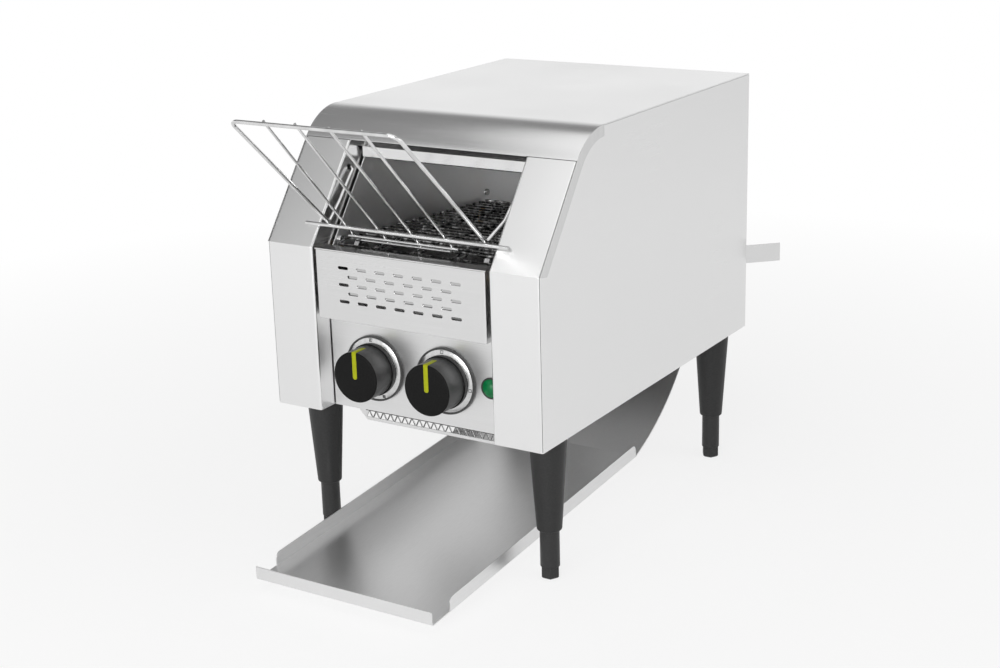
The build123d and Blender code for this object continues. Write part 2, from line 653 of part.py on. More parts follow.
def heater_places():
    """Depth and height of the four heater tubes, the upper pair first."""
    upper = [(depth, BODY_BOTTOM + UPPER_TUBE_HEIGHT) for depth in UPPER_TUBES]
    lower = [on_belt(along, LOWER_TUBE_OFFSET) for along in LOWER_TUBES]
    return upper + lower


def heater_tube(place):
    """Quartz tube from wall to wall, with its ends in the ceramic caps outside."""
    half = WALL_OUTER + CAP_SEAT
    return bar_x(TUBE_DIAMETER, -half, half, *place)


def heater_cap(place):
    """Ceramic cap on the right-hand end of a heater tube."""
    start = WALL_OUTER + SEAM_GAP
    cap = bar_x(CAP_DIAMETER, start, start + CAP_LENGTH, *place)
    return cap - bar_x(TUBE_DIAMETER + 2 * RUNNING_CLEARANCE, start - SHEET, WALL_OUTER + CAP_SEAT, *place)


def upper_reflector():
    """Reflector above the upper heaters, with the bright strip across the top of the opening."""
    half = WALL_INNER - SEAM_GAP
    top = BODY_BOTTOM + REFLECTOR_TOP
    return folded([(STRIP_DEPTH, BODY_BOTTOM + STRIP_BOTTOM), (STRIP_DEPTH, top),
                   (REFLECTOR_BACK, top), (REFLECTOR_BACK, top - REFLECTOR_BACK_DROP)],
                  BEND_RADIUS, -half, half)


def lower_reflector():
    """Reflector between the two runs of the belt, below the lower heaters."""
    half = WALL_INNER - SEAM_GAP
    z = -LOWER_REFLECTOR_DROP
    front, back = LOWER_REFLECTOR_MARGIN, SHAFT_SPACING - LOWER_REFLECTOR_MARGIN
    return BELT_FRAME * folded([(front, 0), (front, z), (back, z), (back, 0)], BEND_RADIUS,
                               -half, half)


def rear_toast_guide():
    """Curved sheet behind the belt that turns the toast down through the drop opening."""
    half = WALL_INNER - SEAM_GAP
    return folded([(GUIDE_START_DEPTH, BODY_BOTTOM + GUIDE_START_HEIGHT),
                   (GUIDE_BACK_DEPTH, BODY_BOTTOM + GUIDE_SHOULDER_HEIGHT),
                   (GUIDE_BACK_DEPTH, FLOOR_TOP + SEAM_GAP)], GUIDE_RADIUS, -half, half)


# Conveyor

def loop_points(radius, spacing, pitch):
    """Places and directions evenly spaced round a belt or chain on two equal wheels."""
    length = 2 * spacing + 2 * math.pi * radius
    count = round(length / pitch)
    points = []
    for index in range(count):
        s = length * index / count
        turn = math.pi * radius
        if s < spacing:
            points.append((s, radius, 0.0))
        elif s < spacing + turn:
            angle = (s - spacing) / radius
            points.append((spacing + radius * math.sin(angle), radius * math.cos(angle), -angle))
        elif s < 2 * spacing + turn:
            points.append((2 * spacing + turn - s, -radius, math.pi))
        else:
            angle = (s - 2 * spacing - turn) / radius
            points.append((-radius * math.sin(angle), -radius * math.cos(angle), math.pi - angle))
    return points


def loop_wire(x, radius):
    """One lengthwise line of the belt: two straight runs joined by a half ring at each shaft."""
    run = Rot(-90, 0, 0) * Cylinder(BELT_WIRE / 2, SHAFT_SPACING)
    ring = Rot(0, 90, 0) * Torus(radius, BELT_WIRE / 2)
    outside = 2 * radius + BELT_WIRE
    front_half = ring & Pos(0, -outside / 2, 0) * Box(outside, outside, outside)
    rear_half = ring & Pos(0, outside / 2, 0) * Box(outside, outside, outside)
    middle = SHAFT_SPACING / 2
    pieces = [Pos(0, middle, radius) * run, Pos(0, middle, -radius) * run,
              front_half, Pos(0, SHAFT_SPACING, 0) * rear_half]
    return [BELT_FRAME * Pos(x, 0, 0) * piece for piece in pieces]


def conveyor_belt():
    """Open wire belt: cross wires resting on the lengthwise wires that link them."""
    wires = [BELT_FRAME * bar_x(BELT_WIRE, -BELT_HALF, BELT_HALF, along, above)
             for along, above, _ in loop_points(BELT_RADIUS, SHAFT_SPACING, BELT_STRAND_PITCH)]
    edge = BELT_HALF - BELT_WIRE
    inner_radius = BELT_RADIUS - BELT_WIRE - SEAM_GAP / 2
    for index in range(BELT_LENGTH_LINES):
        wires += loop_wire(-edge + 2 * edge * index / (BELT_LENGTH_LINES - 1), inner_radius)
    return group(wires)


def toothed_disc(teeth, root, tip, bore, width):
    """Sprocket with pointed teeth, its axis across the machine, centred on the origin."""
    half_tooth = math.pi / teeth
    corners = ((tip, -TOOTH_TIP), (tip, TOOTH_TIP), (root, TOOTH_FOOT), (root, 2 - TOOTH_FOOT))
    points = []
    for tooth in range(teeth):
        for radius, share in corners:
            angle = half_tooth * (2 * tooth + share)
            points.append((radius * math.cos(angle), radius * math.sin(angle)))
    face = make_face(Polyline(*points, close=True)) - Circle(bore / 2)
    return Rot(0, 90, 0) * extrude(face, width / 2, both=True)


def belt_sprockets(place):
    """The pair of sprockets under the belt's wires, on one shaft."""
    tip = BELT_RADIUS - BELT_WIRE / 2 - MOVING_GAP
    disc = toothed_disc(SPROCKET_TEETH, tip - SPROCKET_TOOTH, tip, SHAFT_DIAMETER, SPROCKET_WIDTH)
    x = BELT_HALF - SPROCKET_INSET
    return group([Pos(side * x, *place) * disc for side in (-1, 1)])


def belt_shaft(place, right_end):
    return bar_x(SHAFT_DIAMETER, -(WALL_OUTER + BUSH_FLANGE + SHAFT_END), right_end, *place)


def bush(place):
    """Flanged bush in the right chamber wall."""
    flange_start = WALL_OUTER + RUNNING_CLEARANCE
    body = bar_x(BUSH_DIAMETER - 2 * RUNNING_CLEARANCE, WALL_INNER, flange_start + BUSH_FLANGE, *place)
    body += bar_x(BUSH_FLANGE_DIAMETER, flange_start, flange_start + BUSH_FLANGE, *place)
    return body - bar_x(SHAFT_DIAMETER + 2 * RUNNING_CLEARANCE, WALL_INNER - SHEET,
                        flange_start + 2 * BUSH_FLANGE, *place)


# Drive

CHAIN_X = WALL_OUTER + CHAIN_WALL_GAP
CHAIN_SPACING = math.hypot(MOTOR_BACK, MOTOR_DROP)
CHAIN_FRAME = (Pos(CHAIN_X, *MOTOR_AXIS)
               * Rot(math.degrees(math.atan2(MOTOR_DROP, MOTOR_BACK)), 0, 0))


def chain_link(inner):
    """One pair of link plates, with the roller between the plates of an inner pair."""
    link = CHAIN_PITCH / 2
    gap = CHAIN_SPROCKET_WIDTH / 2 + MOVING_GAP + (0 if inner else CHAIN_PLATE + SEAM_GAP / 2)
    plate = Plane.YZ * SlotCenterToCenter(CHAIN_PITCH, CHAIN_PLATE_HEIGHT)
    plates = [Pos(side * (gap + CHAIN_PLATE / 2), link, 0) * extrude(plate, CHAIN_PLATE / 2, both=True)
              for side in (-1, 1)]
    if not inner:
        return plates
    rollers = [bar_x(CHAIN_ROLLER, -gap, gap, y, 0) for y in (0, CHAIN_PITCH)]
    return [plates[0] + plates[1] + rollers[0] + rollers[1]]


def drive_chain():
    """Roller chain from the motor up to the rear shaft."""
    length = 2 * CHAIN_SPACING + 2 * math.pi * CHAIN_RADIUS
    count = 2 * round(length / CHAIN_PITCH / 2)
    solids = []
    for index, (along, above, angle) in enumerate(
            loop_points(CHAIN_RADIUS, CHAIN_SPACING, length / count)):
        place = CHAIN_FRAME * Pos(0, along, above) * Rot(math.degrees(angle), 0, 0)
        solids += [place * piece for piece in chain_link(index % 2 == 0)]
    return group(solids)


def chain_sprocket(place, bore):
    tip = CHAIN_RADIUS - CHAIN_PLATE_HEIGHT / 2 - MOVING_GAP
    root = tip - CHAIN_SPROCKET_TOOTH
    disc = toothed_disc(CHAIN_SPROCKET_TEETH, root, tip, bore, CHAIN_SPROCKET_WIDTH)
    return Pos(CHAIN_X, *place) * disc


def motor_sprocket():
    """Sprocket on the motor's output shaft, which runs back into the gearbox."""
    start = WALL_INNER - SEAM_GAP - MOTOR_PLATE - MOTOR_SHAFT_INSERT
    end = CHAIN_X + CHAIN_SPROCKET_WIDTH
    return chain_sprocket(MOTOR_AXIS, MOTOR_SHAFT) + bar_x(MOTOR_SHAFT, start, end, *MOTOR_AXIS)


def motor_bracket():
    """Plate between the gearbox and the right chamber wall."""
    y, z = MOTOR_AXIS
    long, tall = MOTOR_PLATE_LENGTH / 2, MOTOR_PLATE_HEIGHT / 2
    x1 = WALL_INNER - SEAM_GAP
    plate = block(x1 - MOTOR_PLATE, x1, y - long, y + long, z - tall, z + tall)
    plate -= bar_x(MOTOR_SHAFT + 4 * MOVING_GAP, x1 - 2 * MOTOR_PLATE, x1 + SHEET, y, z)
    return plate


def gear_motor():
    """Gearbox and motor across the machine, below the belt."""
    y, z = MOTOR_AXIS
    x1 = WALL_INNER - SEAM_GAP - MOTOR_PLATE
    x2 = x1 - GEARBOX_LENGTH
    body = bar_x(GEARBOX_DIAMETER, x2, x1, y, z) + bar_x(MOTOR_DIAMETER, x2 - MOTOR_LENGTH, x2, y, z)
    bore = MOTOR_SHAFT + 2 * MOVING_GAP
    return body - bar_x(bore, x1 - MOTOR_SHAFT_INSERT - MOVING_GAP, x1 + SHEET, y, z)


# Cooling fan

def fan_frame():
    """Square fan housing, with the hub plate held by three struts."""
    z0, z1 = FAN_BASE, FAN_BASE + FAN_DEPTH
    half = FAN_SIZE / 2
    frame = block(FAN_X - half, FAN_X + half, FAN_Y - half, FAN_Y + half, z0, z1)
    frame = fillet(frame.edges().filter_by(Axis.Z), FAN_CORNER_RADIUS)
    frame -= bar_z(FAN_DUCT, FAN_X, FAN_Y, z0 - SHEET, z1 + SHEET)
    for index in range(FAN_STRUTS):
        arm = Pos(0, FAN_DUCT / 4 + SHEET, 0) * Box(FAN_STRUT, FAN_DUCT / 2, FAN_STRUT)
        turn = Rot(0, 0, 360 / FAN_STRUTS * index)
        frame += Pos(FAN_X, FAN_Y, z1 - FAN_STRUT / 2) * turn * arm
    frame += bar_z(FAN_HUB, FAN_X, FAN_Y, z1 - FAN_STRUT, z1)
    screw = FAN_SCREW_SPACING / 2
    for x in (-screw, screw):
        for y in (-screw, screw):
            frame -= bar_z(SCREW_HOLE, FAN_X + x, FAN_Y + y, z0 - SHEET, z1 + SHEET)
    return frame


def fan_impeller():
    """Hub with pitched blades that turns inside the housing."""
    z1 = FAN_BASE + FAN_DEPTH - FAN_STRUT - MOVING_GAP
    z0 = FAN_BASE + FAN_BLADE_MARGIN
    impeller = bar_z(FAN_HUB, FAN_X, FAN_Y, z0, z1)
    tip = FAN_DUCT / 2 - FAN_BLADE_MARGIN
    length = tip - FAN_HUB / 4
    envelope = Cylinder(tip, z1 - z0 - 2 * FAN_BLADE_MARGIN)
    blade = Pos(0, tip - length / 2, 0) * Rot(0, FAN_PITCH, 0) * Box(FAN_BLADE, length, 2 * FAN_DEPTH)
    for index in range(FAN_BLADES):
        turned = Rot(0, 0, 360 / FAN_BLADES * index) * blade
        impeller += Pos(FAN_X, FAN_Y, (z0 + z1) / 2) * (turned & envelope)
    return impeller


# Controls

KNOB_BACK = CONTROL_RECESS - DIAL_RIM_THICKNESS - 2 * MOVING_GAP
KNOB_FRONT = KNOB_BACK - KNOB_LENGTH


def knob_form(x, grow=0.0):
    """Outer form of a knob, a little wider at the panel, its face and side grown by this."""
    length = KNOB_LENGTH + grow
    cone = Cone(KNOB_SKIRT_DIAMETER / 2 + grow, KNOB_DIAMETER / 2 + grow, length)
    form = Pos(x, KNOB_BACK - length / 2, KNOB_Z) * Rot(90, 0, 0) * cone
    return fillet(form.edges().sort_by(Axis.Y)[0], KNOB_EDGE)


def pointer_slot(x):
    """The groove along the knob's top and down its face past the centre."""
    half = POINTER_WIDTH / 2
    top = KNOB_Z + KNOB_DIAMETER / 2
    front = KNOB_FRONT - POINTER_DEPTH
    face = block(x - half, x + half, front, KNOB_FRONT + POINTER_DEPTH,
                 KNOB_Z - POINTER_PAST_CENTRE, top + POINTER_DEPTH)
    crown = block(x - half, x + half, front, KNOB_FRONT + POINTER_ON_SIDE,
                  top - POINTER_DEPTH, top + 2 * POINTER_DEPTH)
    return face + crown


def knob(x):
    """Round knob with the bore for its spindle and the groove for its pointer."""
    bore = bar_y(SPINDLE_DIAMETER + 2 * RUNNING_CLEARANCE, x, KNOB_BACK - SPINDLE_IN_KNOB - MOVING_GAP,
                 KNOB_BACK + SHEET, KNOB_Z)
    return knob_form(x) - bore - pointer_slot(x)


def pointer(x):
    """Coloured strip that fills the groove and stands a little proud of it."""
    return knob_form(x, POINTER_PROUD) & pointer_slot(x)


def spindle(x):
    """Steel spindle that the knob turns."""
    return bar_y(SPINDLE_DIAMETER, x, KNOB_BACK - SPINDLE_IN_KNOB, CONTROL_BACK + SPINDLE_IN_BODY, KNOB_Z)


def dial_rim(x):
    """Dark plastic rim round the dial."""
    y0 = CONTROL_RECESS - DIAL_RIM_THICKNESS
    return (bar_y(DIAL_RIM_OUTER, x, y0, CONTROL_RECESS, KNOB_Z)
            - bar_y(DIAL_RIM_INNER, x, y0 - SHEET, CONTROL_RECESS + SHEET, KNOB_Z))


def dial_ring(x):
    """Bright ring with the marks, inside the rim."""
    y0 = CONTROL_RECESS - DIAL_RING_THICKNESS
    return (bar_y(DIAL_RIM_INNER - SEAM_GAP, x, y0, CONTROL_RECESS, KNOB_Z)
            - bar_y(DIAL_RING_INNER, x, y0 - SHEET, CONTROL_RECESS + SHEET, KNOB_Z))


def spindle_bore(x):
    return bar_y(SPINDLE_DIAMETER + 2 * MOVING_GAP, x, CONTROL_RECESS,
                 CONTROL_BACK + SPINDLE_IN_BODY + MOVING_GAP, KNOB_Z)


def selector_switch():
    """Rotary switch behind the left knob."""
    x, half = LEFT_KNOB_X, SWITCH_SIZE / 2
    body = block(x - half, x + half, CONTROL_BACK, CONTROL_BACK + SWITCH_DEPTH,
                 KNOB_Z - half, KNOB_Z + half)
    body = fillet(body.edges().filter_by(Axis.Y), 2 * SHEET)
    return body - spindle_bore(x)


def speed_control():
    """Round speed regulator behind the right knob, on its square board."""
    x = RIGHT_KNOB_X
    body = bar_y(SPEED_CONTROL_DIAMETER, x, CONTROL_BACK, CONTROL_BACK + SPEED_CONTROL_DEPTH, KNOB_Z)
    half = SPEED_CONTROL_DIAMETER / 2 + 3 * SHEET
    board_y = CONTROL_BACK + SPEED_CONTROL_DEPTH
    board = block(x - half, x + half, board_y, board_y + 1.6 * SHEET, KNOB_Z - half, KNOB_Z + half)
    return body + board - spindle_bore(x)


def lamp_lens():
    """Domed green lens in front of the control panel."""
    y1 = CONTROL_RECESS - LAMP_RIM_THICKNESS
    height = LAMP_DOME
    radius = LAMP_DIAMETER / 2
    sphere_radius = (radius ** 2 + height ** 2) / (2 * height)
    ball = Pos(LAMP_X, y1 - height + sphere_radius, LAMP_Z) * Sphere(sphere_radius)
    return ball & bar_y(LAMP_DIAMETER, LAMP_X, y1 - height, y1, LAMP_Z)


def lamp_holder():
    """Dark rim of the lamp, with its body through the panel."""
    rim = bar_y(LAMP_RIM_DIAMETER, LAMP_X, CONTROL_RECESS - LAMP_RIM_THICKNESS, CONTROL_RECESS, LAMP_Z)
    body = bar_y(LAMP_BODY_DIAMETER, LAMP_X, CONTROL_RECESS - LAMP_RIM_THICKNESS / 2,
                 CONTROL_RECESS + LAMP_BODY_LENGTH, LAMP_Z)
    return rim + body


# Wiring inside the left-hand side

def thermostat():
    """Safety cut-out screwed to the outside of the left chamber wall."""
    z = BODY_BOTTOM + THERMOSTAT_HEIGHT
    x1 = -(WALL_OUTER + SEAM_GAP)
    long, tall = THERMOSTAT_PLATE_LENGTH / 2, THERMOSTAT_DIAMETER / 2
    plate = block(x1 - THERMOSTAT_PLATE, x1, THERMOSTAT_DEPTH - long, THERMOSTAT_DEPTH + long,
                  z - tall, z + tall)
    return plate + bar_x(THERMOSTAT_DIAMETER, x1 - THERMOSTAT_LENGTH, x1, THERMOSTAT_DEPTH, z)


def terminal_block():
    """Mains terminals on the floor plate, near the cable gland."""
    x = -(WALL_OUTER + HALF_WIDTH) / 2
    half_width, half_length = TERMINAL_WIDTH / 2, TERMINAL_WAYS * TERMINAL_PITCH / 2
    half_way = (TERMINAL_PITCH - TERMINAL_GAP) / 2
    z0 = FLOOR_TOP + SEAM_GAP
    z1 = z0 + TERMINAL_BASE
    z2 = z1 + TERMINAL_RISE
    terminals = block(x - half_width, x + half_width, TERMINAL_DEPTH - half_length,
                      TERMINAL_DEPTH + half_length, z0, z1)
    for index in range(TERMINAL_WAYS):
        y = TERMINAL_DEPTH + (index - (TERMINAL_WAYS - 1) / 2) * TERMINAL_PITCH
        terminals += block(x - half_width + SHEET, x + half_width - SHEET, y - half_way, y + half_way,
                           z1, z2)
        terminals -= bar_z(TERMINAL_SCREW, x, y, z1 + SHEET, z2 + SHEET)
    return terminals


def cable_gland():
    """Plastic gland where the supply cable enters the rear panel."""
    z = BODY_BOTTOM + GLAND_HEIGHT
    inner_end = BODY_DEPTH - SHEET - GLAND_THREAD
    nut_end = BODY_DEPTH + GLAND_NUT
    gland = bar_y(GLAND_HOLE - 2 * SEAM_GAP, GLAND_X, inner_end, nut_end, z)
    hex_nut = extrude(RegularPolygon(GLAND_NUT_CORNERS / 2, 6), GLAND_NUT)
    gland += Pos(GLAND_X, nut_end, z) * Rot(90, 0, 0) * hex_nut
    dome = Cone(GLAND_HOLE / 2, GLAND_DOME_END / 2, GLAND_DOME)
    gland += Pos(GLAND_X, nut_end + GLAND_DOME / 2, z) * Rot(-90, 0, 0) * dome
    return gland - bar_y(GLAND_BORE, GLAND_X, inner_end - SHEET, nut_end + GLAND_DOME + SHEET, z)


# Rear

def rear_spacer():
    """Right-hand bracket that keeps the casing off the wall: a foot and a flared arm."""
    z0 = BODY_BOTTOM + SPACER_HEIGHT
    bend_x = HALF_WIDTH - SPACER_SIDE_INSET
    y = BODY_DEPTH + SPACER_SHEET / 2
    angle = math.radians(SPACER_ANGLE)
    reach = SPACER_REACH + SPACER_SHEET / 2 - SPACER_SHEET / 2 * math.cos(angle)
    tip = (bend_x + reach / math.tan(angle), y + reach)
    line = FilletPolyline((bend_x - SPACER_FOOT, y), (bend_x, y), tip, radius=2 * SPACER_SHEET)
    bracket = Pos(0, 0, z0) * extrude(trace(line, SPACER_SHEET), SPACER_TALL)
    x, z = spacer_screw_places()[1]
    return bracket - bar_y(SCREW_HOLE, x, BODY_DEPTH - SHEET, BODY_DEPTH + 2 * SPACER_SHEET, z)


def screw():
    """Pan-head screw that points along +Y, its head seated at the origin."""
    head = Pos(0, -SCREW_HEAD_HEIGHT / 2, 0) * Rot(90, 0, 0) * Cylinder(SCREW_HEAD / 2, SCREW_HEAD_HEIGHT)
    head = fillet(head.edges().sort_by(Axis.Y)[0], SCREW_HEAD_HEIGHT / 3)
    shank = bar_y(SCREW_SHANK, 0, 0, SCREW_LENGTH, 0)
    cross = (Box(SCREW_HEAD / 2, SCREW_RECESS, SCREW_RECESS)
             + Box(SCREW_RECESS, SCREW_RECESS, SCREW_HEAD / 2))
    return head + shank - Pos(0, -SCREW_HEAD_HEIGHT, 0) * cross


def panel_screws():
    """All pan-head screws: rear panel, rear spacers and chamber walls."""
    one = screw()
    screws = [Pos(x, BODY_DEPTH, z) * Rot(0, 0, 180) * one for x, z in rear_screw_places()]
    screws += [Pos(x, BODY_DEPTH + SPACER_SHEET, z) * Rot(0, 0, 180) * one
               for x, z in spacer_screw_places()]
    for y, z in wall_screw_places():
        screws += [Pos(WALL_INNER, y, z) * Rot(0, 0, -90) * one,
                   Pos(-WALL_INNER, y, z) * Rot(0, 0, 90) * one]
    return group(screws)


# Legs and feet

def leg(x, y):
    """Tapered plastic leg with the socket that its foot screws into."""
    sleeve = Pos(x, y, FOOT_SHOW + LEG_HEIGHT / 2) * Cone(LEG_BOTTOM_DIAMETER / 2,
                                                          LEG_TOP_DIAMETER / 2, LEG_HEIGHT)
    sleeve = fillet(sleeve.edges().sort_by(Axis.Z)[0], LEG_EDGE)
    return sleeve - bar_z(SOCKET_DIAMETER, x, y, FOOT_SHOW - SHEET, FOOT_SHOW + SOCKET_DEPTH)


def foot(x, y):
    """Foot that screws up into the leg, with a hexagonal end to turn it by."""
    stem = bar_z(FOOT_DIAMETER, x, y, FOOT_HEX_HEIGHT, FOOT_SHOW + FOOT_INSERT)
    stem = chamfer(stem.edges(), FOOT_CHAMFER)
    hex_end = extrude(RegularPolygon(FOOT_HEX_FLATS / 2, 6, major_radius=False),
                      FOOT_HEX_HEIGHT + FOOT_CHAMFER)
    hex_end = chamfer(hex_end.edges().group_by(Axis.Z)[0], FOOT_CHAMFER)
    return stem + Pos(x, y, 0) * hex_end


# Feed rack

def feed_rack():
    """Welded wire rack that leans on the columns and hangs on two pins in their flanges."""
    top = (-RACK_REACH, KNEE + RACK_TOP_ABOVE_KNEE)
    contact = RACK_WIRE / 2 + MOVING_GAP
    bar = up_slope(CROSSBAR_UP_SLOPE, -contact)
    length = math.dist(top, bar)
    down = ((bar[0] - top[0]) / length, (bar[1] - top[1]) / length)
    above = (-down[1], down[0])

    def rack_point(x, along, lift):
        return (x, top[0] + down[0] * along + above[0] * lift, top[1] + down[1] * along + above[1] * lift)

    arm_x = OPENING_HALF - RACK_SIDE_GAP
    pin_x = OPENING_HALF + SHEET + RACK_PIN_REACH
    half_frame = [(0, *top), (RACK_HALF_WIDTH, *top),
                  rack_point(RACK_HALF_WIDTH, length, ARM_BEND_LIFT),
                  (arm_x - RACK_WIRE / 2, *up_slope(ARM_KNEE_UP_SLOPE, ARM_KNEE_DEPTH)),
                  (arm_x, *RACK_PIN), (pin_x, *RACK_PIN)]
    frame = wire(half_frame, RACK_WIRE,
                 [RACK_CORNER_RADIUS, ARM_BEND_RADIUS, ARM_KNEE_RADIUS, RACK_WIRE])
    rack = frame + mirror(frame, Plane.YZ)
    rack += bar_x(RACK_WIRE, -CROSSBAR_HALF_LENGTH, CROSSBAR_HALF_LENGTH, *bar)
    lift = (RACK_WIRE + RACK_THIN_WIRE) / 2 * WELD_SHARE
    for index in range(INNER_WIRES):
        place = index - (INNER_WIRES - 1) / 2
        x_top = INNER_TOP_SHIFT + place * INNER_TOP_PITCH
        x_foot = INNER_FOOT_SHIFT + place * INNER_FOOT_PITCH
        x_end = x_foot + (x_foot - x_top) * INNER_OVERRUN / length
        rack += rod(rack_point(x_top, 0, lift), rack_point(x_end, length + INNER_OVERRUN, lift),
                    RACK_THIN_WIRE)
    end_lift = lift - RACK_THIN_WIRE * WELD_SHARE
    for half, back in ((SECOND_BAR_HALF, BAR_STEP), (THIRD_BAR_HALF, 0)):
        place = rack_point(0, length + INNER_OVERRUN - RACK_THIN_WIRE / 2 - back, end_lift)
        rack += bar_x(RACK_THIN_WIRE, LOWER_BARS_X - half, LOWER_BARS_X + half, place[1], place[2])
    return rack


# Collector tray

def tray_point(depth):
    """Height of the tray's underside at this depth, in front of the chute."""
    return TRAY_FRONT_HEIGHT + (depth + TRAY_REACH) * math.tan(math.radians(TRAY_SLOPE))


def chute_end():
    """Depth of the chute's top end, and the angle that the chute has turned to."""
    bend_z = tray_point(TRAY_BEND_DEPTH)
    start = math.radians(CHUTE_START_ANGLE)
    end_cosine = math.cos(start) - (CHUTE_TOP_HEIGHT - bend_z) / CHUTE_RADIUS
    end = math.acos(end_cosine)
    return TRAY_BEND_DEPTH + CHUTE_RADIUS * (math.sin(end) - math.sin(start)), end


def collector_tray():
    """One folded sheet: front lip, sloping floor with side flanges, chute and hook at the back."""
    half_sheet = SHEET / 2
    lip = -TRAY_REACH + half_sheet
    bend = (TRAY_BEND_DEPTH, tray_point(TRAY_BEND_DEPTH) + half_sheet)
    start = math.radians(CHUTE_START_ANGLE)
    end_y, end = chute_end()
    middle = (start + end) / 2
    rise = CHUTE_RADIUS * (math.cos(start) - math.cos(middle))
    run = CHUTE_RADIUS * (math.sin(middle) - math.sin(start))
    top = (end_y, CHUTE_TOP_HEIGHT + half_sheet)
    floor = trace(FilletPolyline((lip, TRAY_FRONT_HEIGHT + TRAY_LIP),
                                 (lip, tray_point(lip) + half_sheet), bend, radius=BEND_RADIUS), SHEET)
    chute = trace(ThreePointArc(bend, (bend[0] + run, bend[1] + rise), top), SHEET)
    hook = trace(Line((top[0] - half_sheet, top[1]), (top[0] + TRAY_HOOK, top[1])), SHEET)
    joint = Pos(*bend) * Circle(half_sheet)
    sheet = across(Plane.YZ * (floor + joint + chute + hook), -TRAY_HALF_WIDTH, TRAY_HALF_WIDTH)
    front = TRAY_FLANGE_FRONT - TRAY_REACH
    edge = Polyline((front, tray_point(front)), bend, (bend[0], bend[1] + TRAY_FLANGE),
                    (front, tray_point(front) + TRAY_FLANGE), close=True)
    face = make_face(edge)
    corner = face.vertices().sort_by_distance((front, tray_point(front) + TRAY_FLANGE, 0))[0]
    rear = face.vertices().sort_by_distance((bend[0], bend[1] + TRAY_FLANGE, 0))[0]
    face = fillet([corner, rear], TRAY_FLANGE / 2)
    flange = across(Plane.YZ * face, TRAY_HALF_WIDTH - SHEET, TRAY_HALF_WIDTH)
    return sheet + both_sides(flange)


def tray_hangers():
    """Two open brackets under the floor plate that the tray's rear hook slides into."""
    end_y, _ = chute_end()
    back = end_y + TRAY_HOOK + MOVING_GAP + HANGER_SHEET / 2
    under = CHUTE_TOP_HEIGHT - MOVING_GAP - HANGER_SHEET / 2
    over = CHUTE_TOP_HEIGHT + SHEET + MOVING_GAP + HANGER_SHEET / 2
    front = end_y + 3 * SHEET
    plate_z = BODY_BOTTOM - HANGER_SHEET / 2
    web = folded([(front, under), (back, under), (back, plate_z), (front + HANGER_SHEET, plate_z)],
                 HANGER_SHEET, -HANGER_WIDTH / 2, HANGER_WIDTH / 2, HANGER_SHEET)
    keeper = folded([(front + HANGER_SHEET, over), (back, over)], 0,
                    -HANGER_WIDTH / 2, HANGER_WIDTH / 2, HANGER_SHEET)
    hanger = web + keeper
    return group([Pos(side * HANGER_SPACING / 2, 0, 0) * hanger for side in (-1, 1)])


def build():
    """Every piece by its node name."""
    right_side = side_panel()
    wall = inner_wall()
    drive_end = CHAIN_X + CHAIN_SPROCKET_WIDTH
    tubes = heater_places()
    caps = [cap for place in tubes for cap in both_sides(heater_cap(place))]
    bushes = [piece for place in (FRONT_SHAFT, REAR_SHAFT) for piece in both_sides(bush(place))]
    pieces = {
        "right_side_panel": right_side,
        "left_side_panel": mirror(right_side, Plane.YZ),
        "top_cover": top_cover(),
        "rear_panel": rear_panel(),
        "bottom_plate": bottom_plate(),
        "vent_panel": vent_panel(),
        "vent_baffle": vent_baffle(),
        "sill_plate": sill_plate(),
        "control_panel": control_panel(),
        "right_inner_wall": drive_side_wall(),
        "left_inner_wall": mirror(wall, Plane.YZ),
        "upper_reflector": upper_reflector(),
        "lower_reflector": lower_reflector(),
        "rear_toast_guide": rear_toast_guide(),
        "upper_front_heater": heater_tube(tubes[0]),
        "upper_rear_heater": heater_tube(tubes[1]),
        "lower_front_heater": heater_tube(tubes[2]),
        "lower_rear_heater": heater_tube(tubes[3]),
        "heater_end_caps": group(caps),
        "conveyor_belt": conveyor_belt(),
        "front_shaft": belt_shaft(FRONT_SHAFT, WALL_OUTER + BUSH_FLANGE + SHAFT_END),
        "rear_shaft": belt_shaft(REAR_SHAFT, drive_end),
        "front_sprockets": belt_sprockets(FRONT_SHAFT),
        "rear_sprockets": belt_sprockets(REAR_SHAFT),
        "shaft_bushes": group(bushes),
        "drive_sprocket": chain_sprocket(REAR_SHAFT, SHAFT_DIAMETER),
        "drive_chain": drive_chain(),
        "motor_sprocket": motor_sprocket(),
        "motor_bracket": motor_bracket(),
        "gear_motor": gear_motor(),
        "fan_frame": fan_frame(),
        "fan_impeller": fan_impeller(),
        "left_knob": knob(LEFT_KNOB_X),
        "right_knob": knob(RIGHT_KNOB_X),
        "left_pointer": pointer(LEFT_KNOB_X),
        "right_pointer": pointer(RIGHT_KNOB_X),
        "left_spindle": spindle(LEFT_KNOB_X),
        "right_spindle": spindle(RIGHT_KNOB_X),
        "dial_rims": group([dial_rim(LEFT_KNOB_X), dial_rim(RIGHT_KNOB_X)]),
        "dial_rings": group([dial_ring(LEFT_KNOB_X), dial_ring(RIGHT_KNOB_X)]),
        "selector_switch": selector_switch(),
        "speed_control": speed_control(),
        "lamp_lens": lamp_lens(),
        "lamp_holder": lamp_holder(),
        "thermostat": thermostat(),
        "terminal_block": terminal_block(),
        "cable_gland": cable_gland(),
        "rear_spacers": group(both_sides(rear_spacer())),
        "panel_screws": panel_screws(),
        "feed_rack": feed_rack(),
        "collector_tray": collector_tray(),
        "tray_hangers": tray_hangers(),
    }
    for end, y in (("front", LEG_FRONT), ("rear", LEG_REAR)):
        for side, x in (("left", -LEG_X), ("right", LEG_X)):
            pieces[f"{end}_{side}_leg"] = leg(x, y)
            pieces[f"{end}_{side}_foot"] = foot(x, y)
    return pieces


os.makedirs("parts", exist_ok=True)
for piece_name, piece in build().items():
    export(piece_name, piece)
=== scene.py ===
"""Finishes and fine parts of a countertop conveyor toaster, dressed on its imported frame. Metres."""

import json
import math

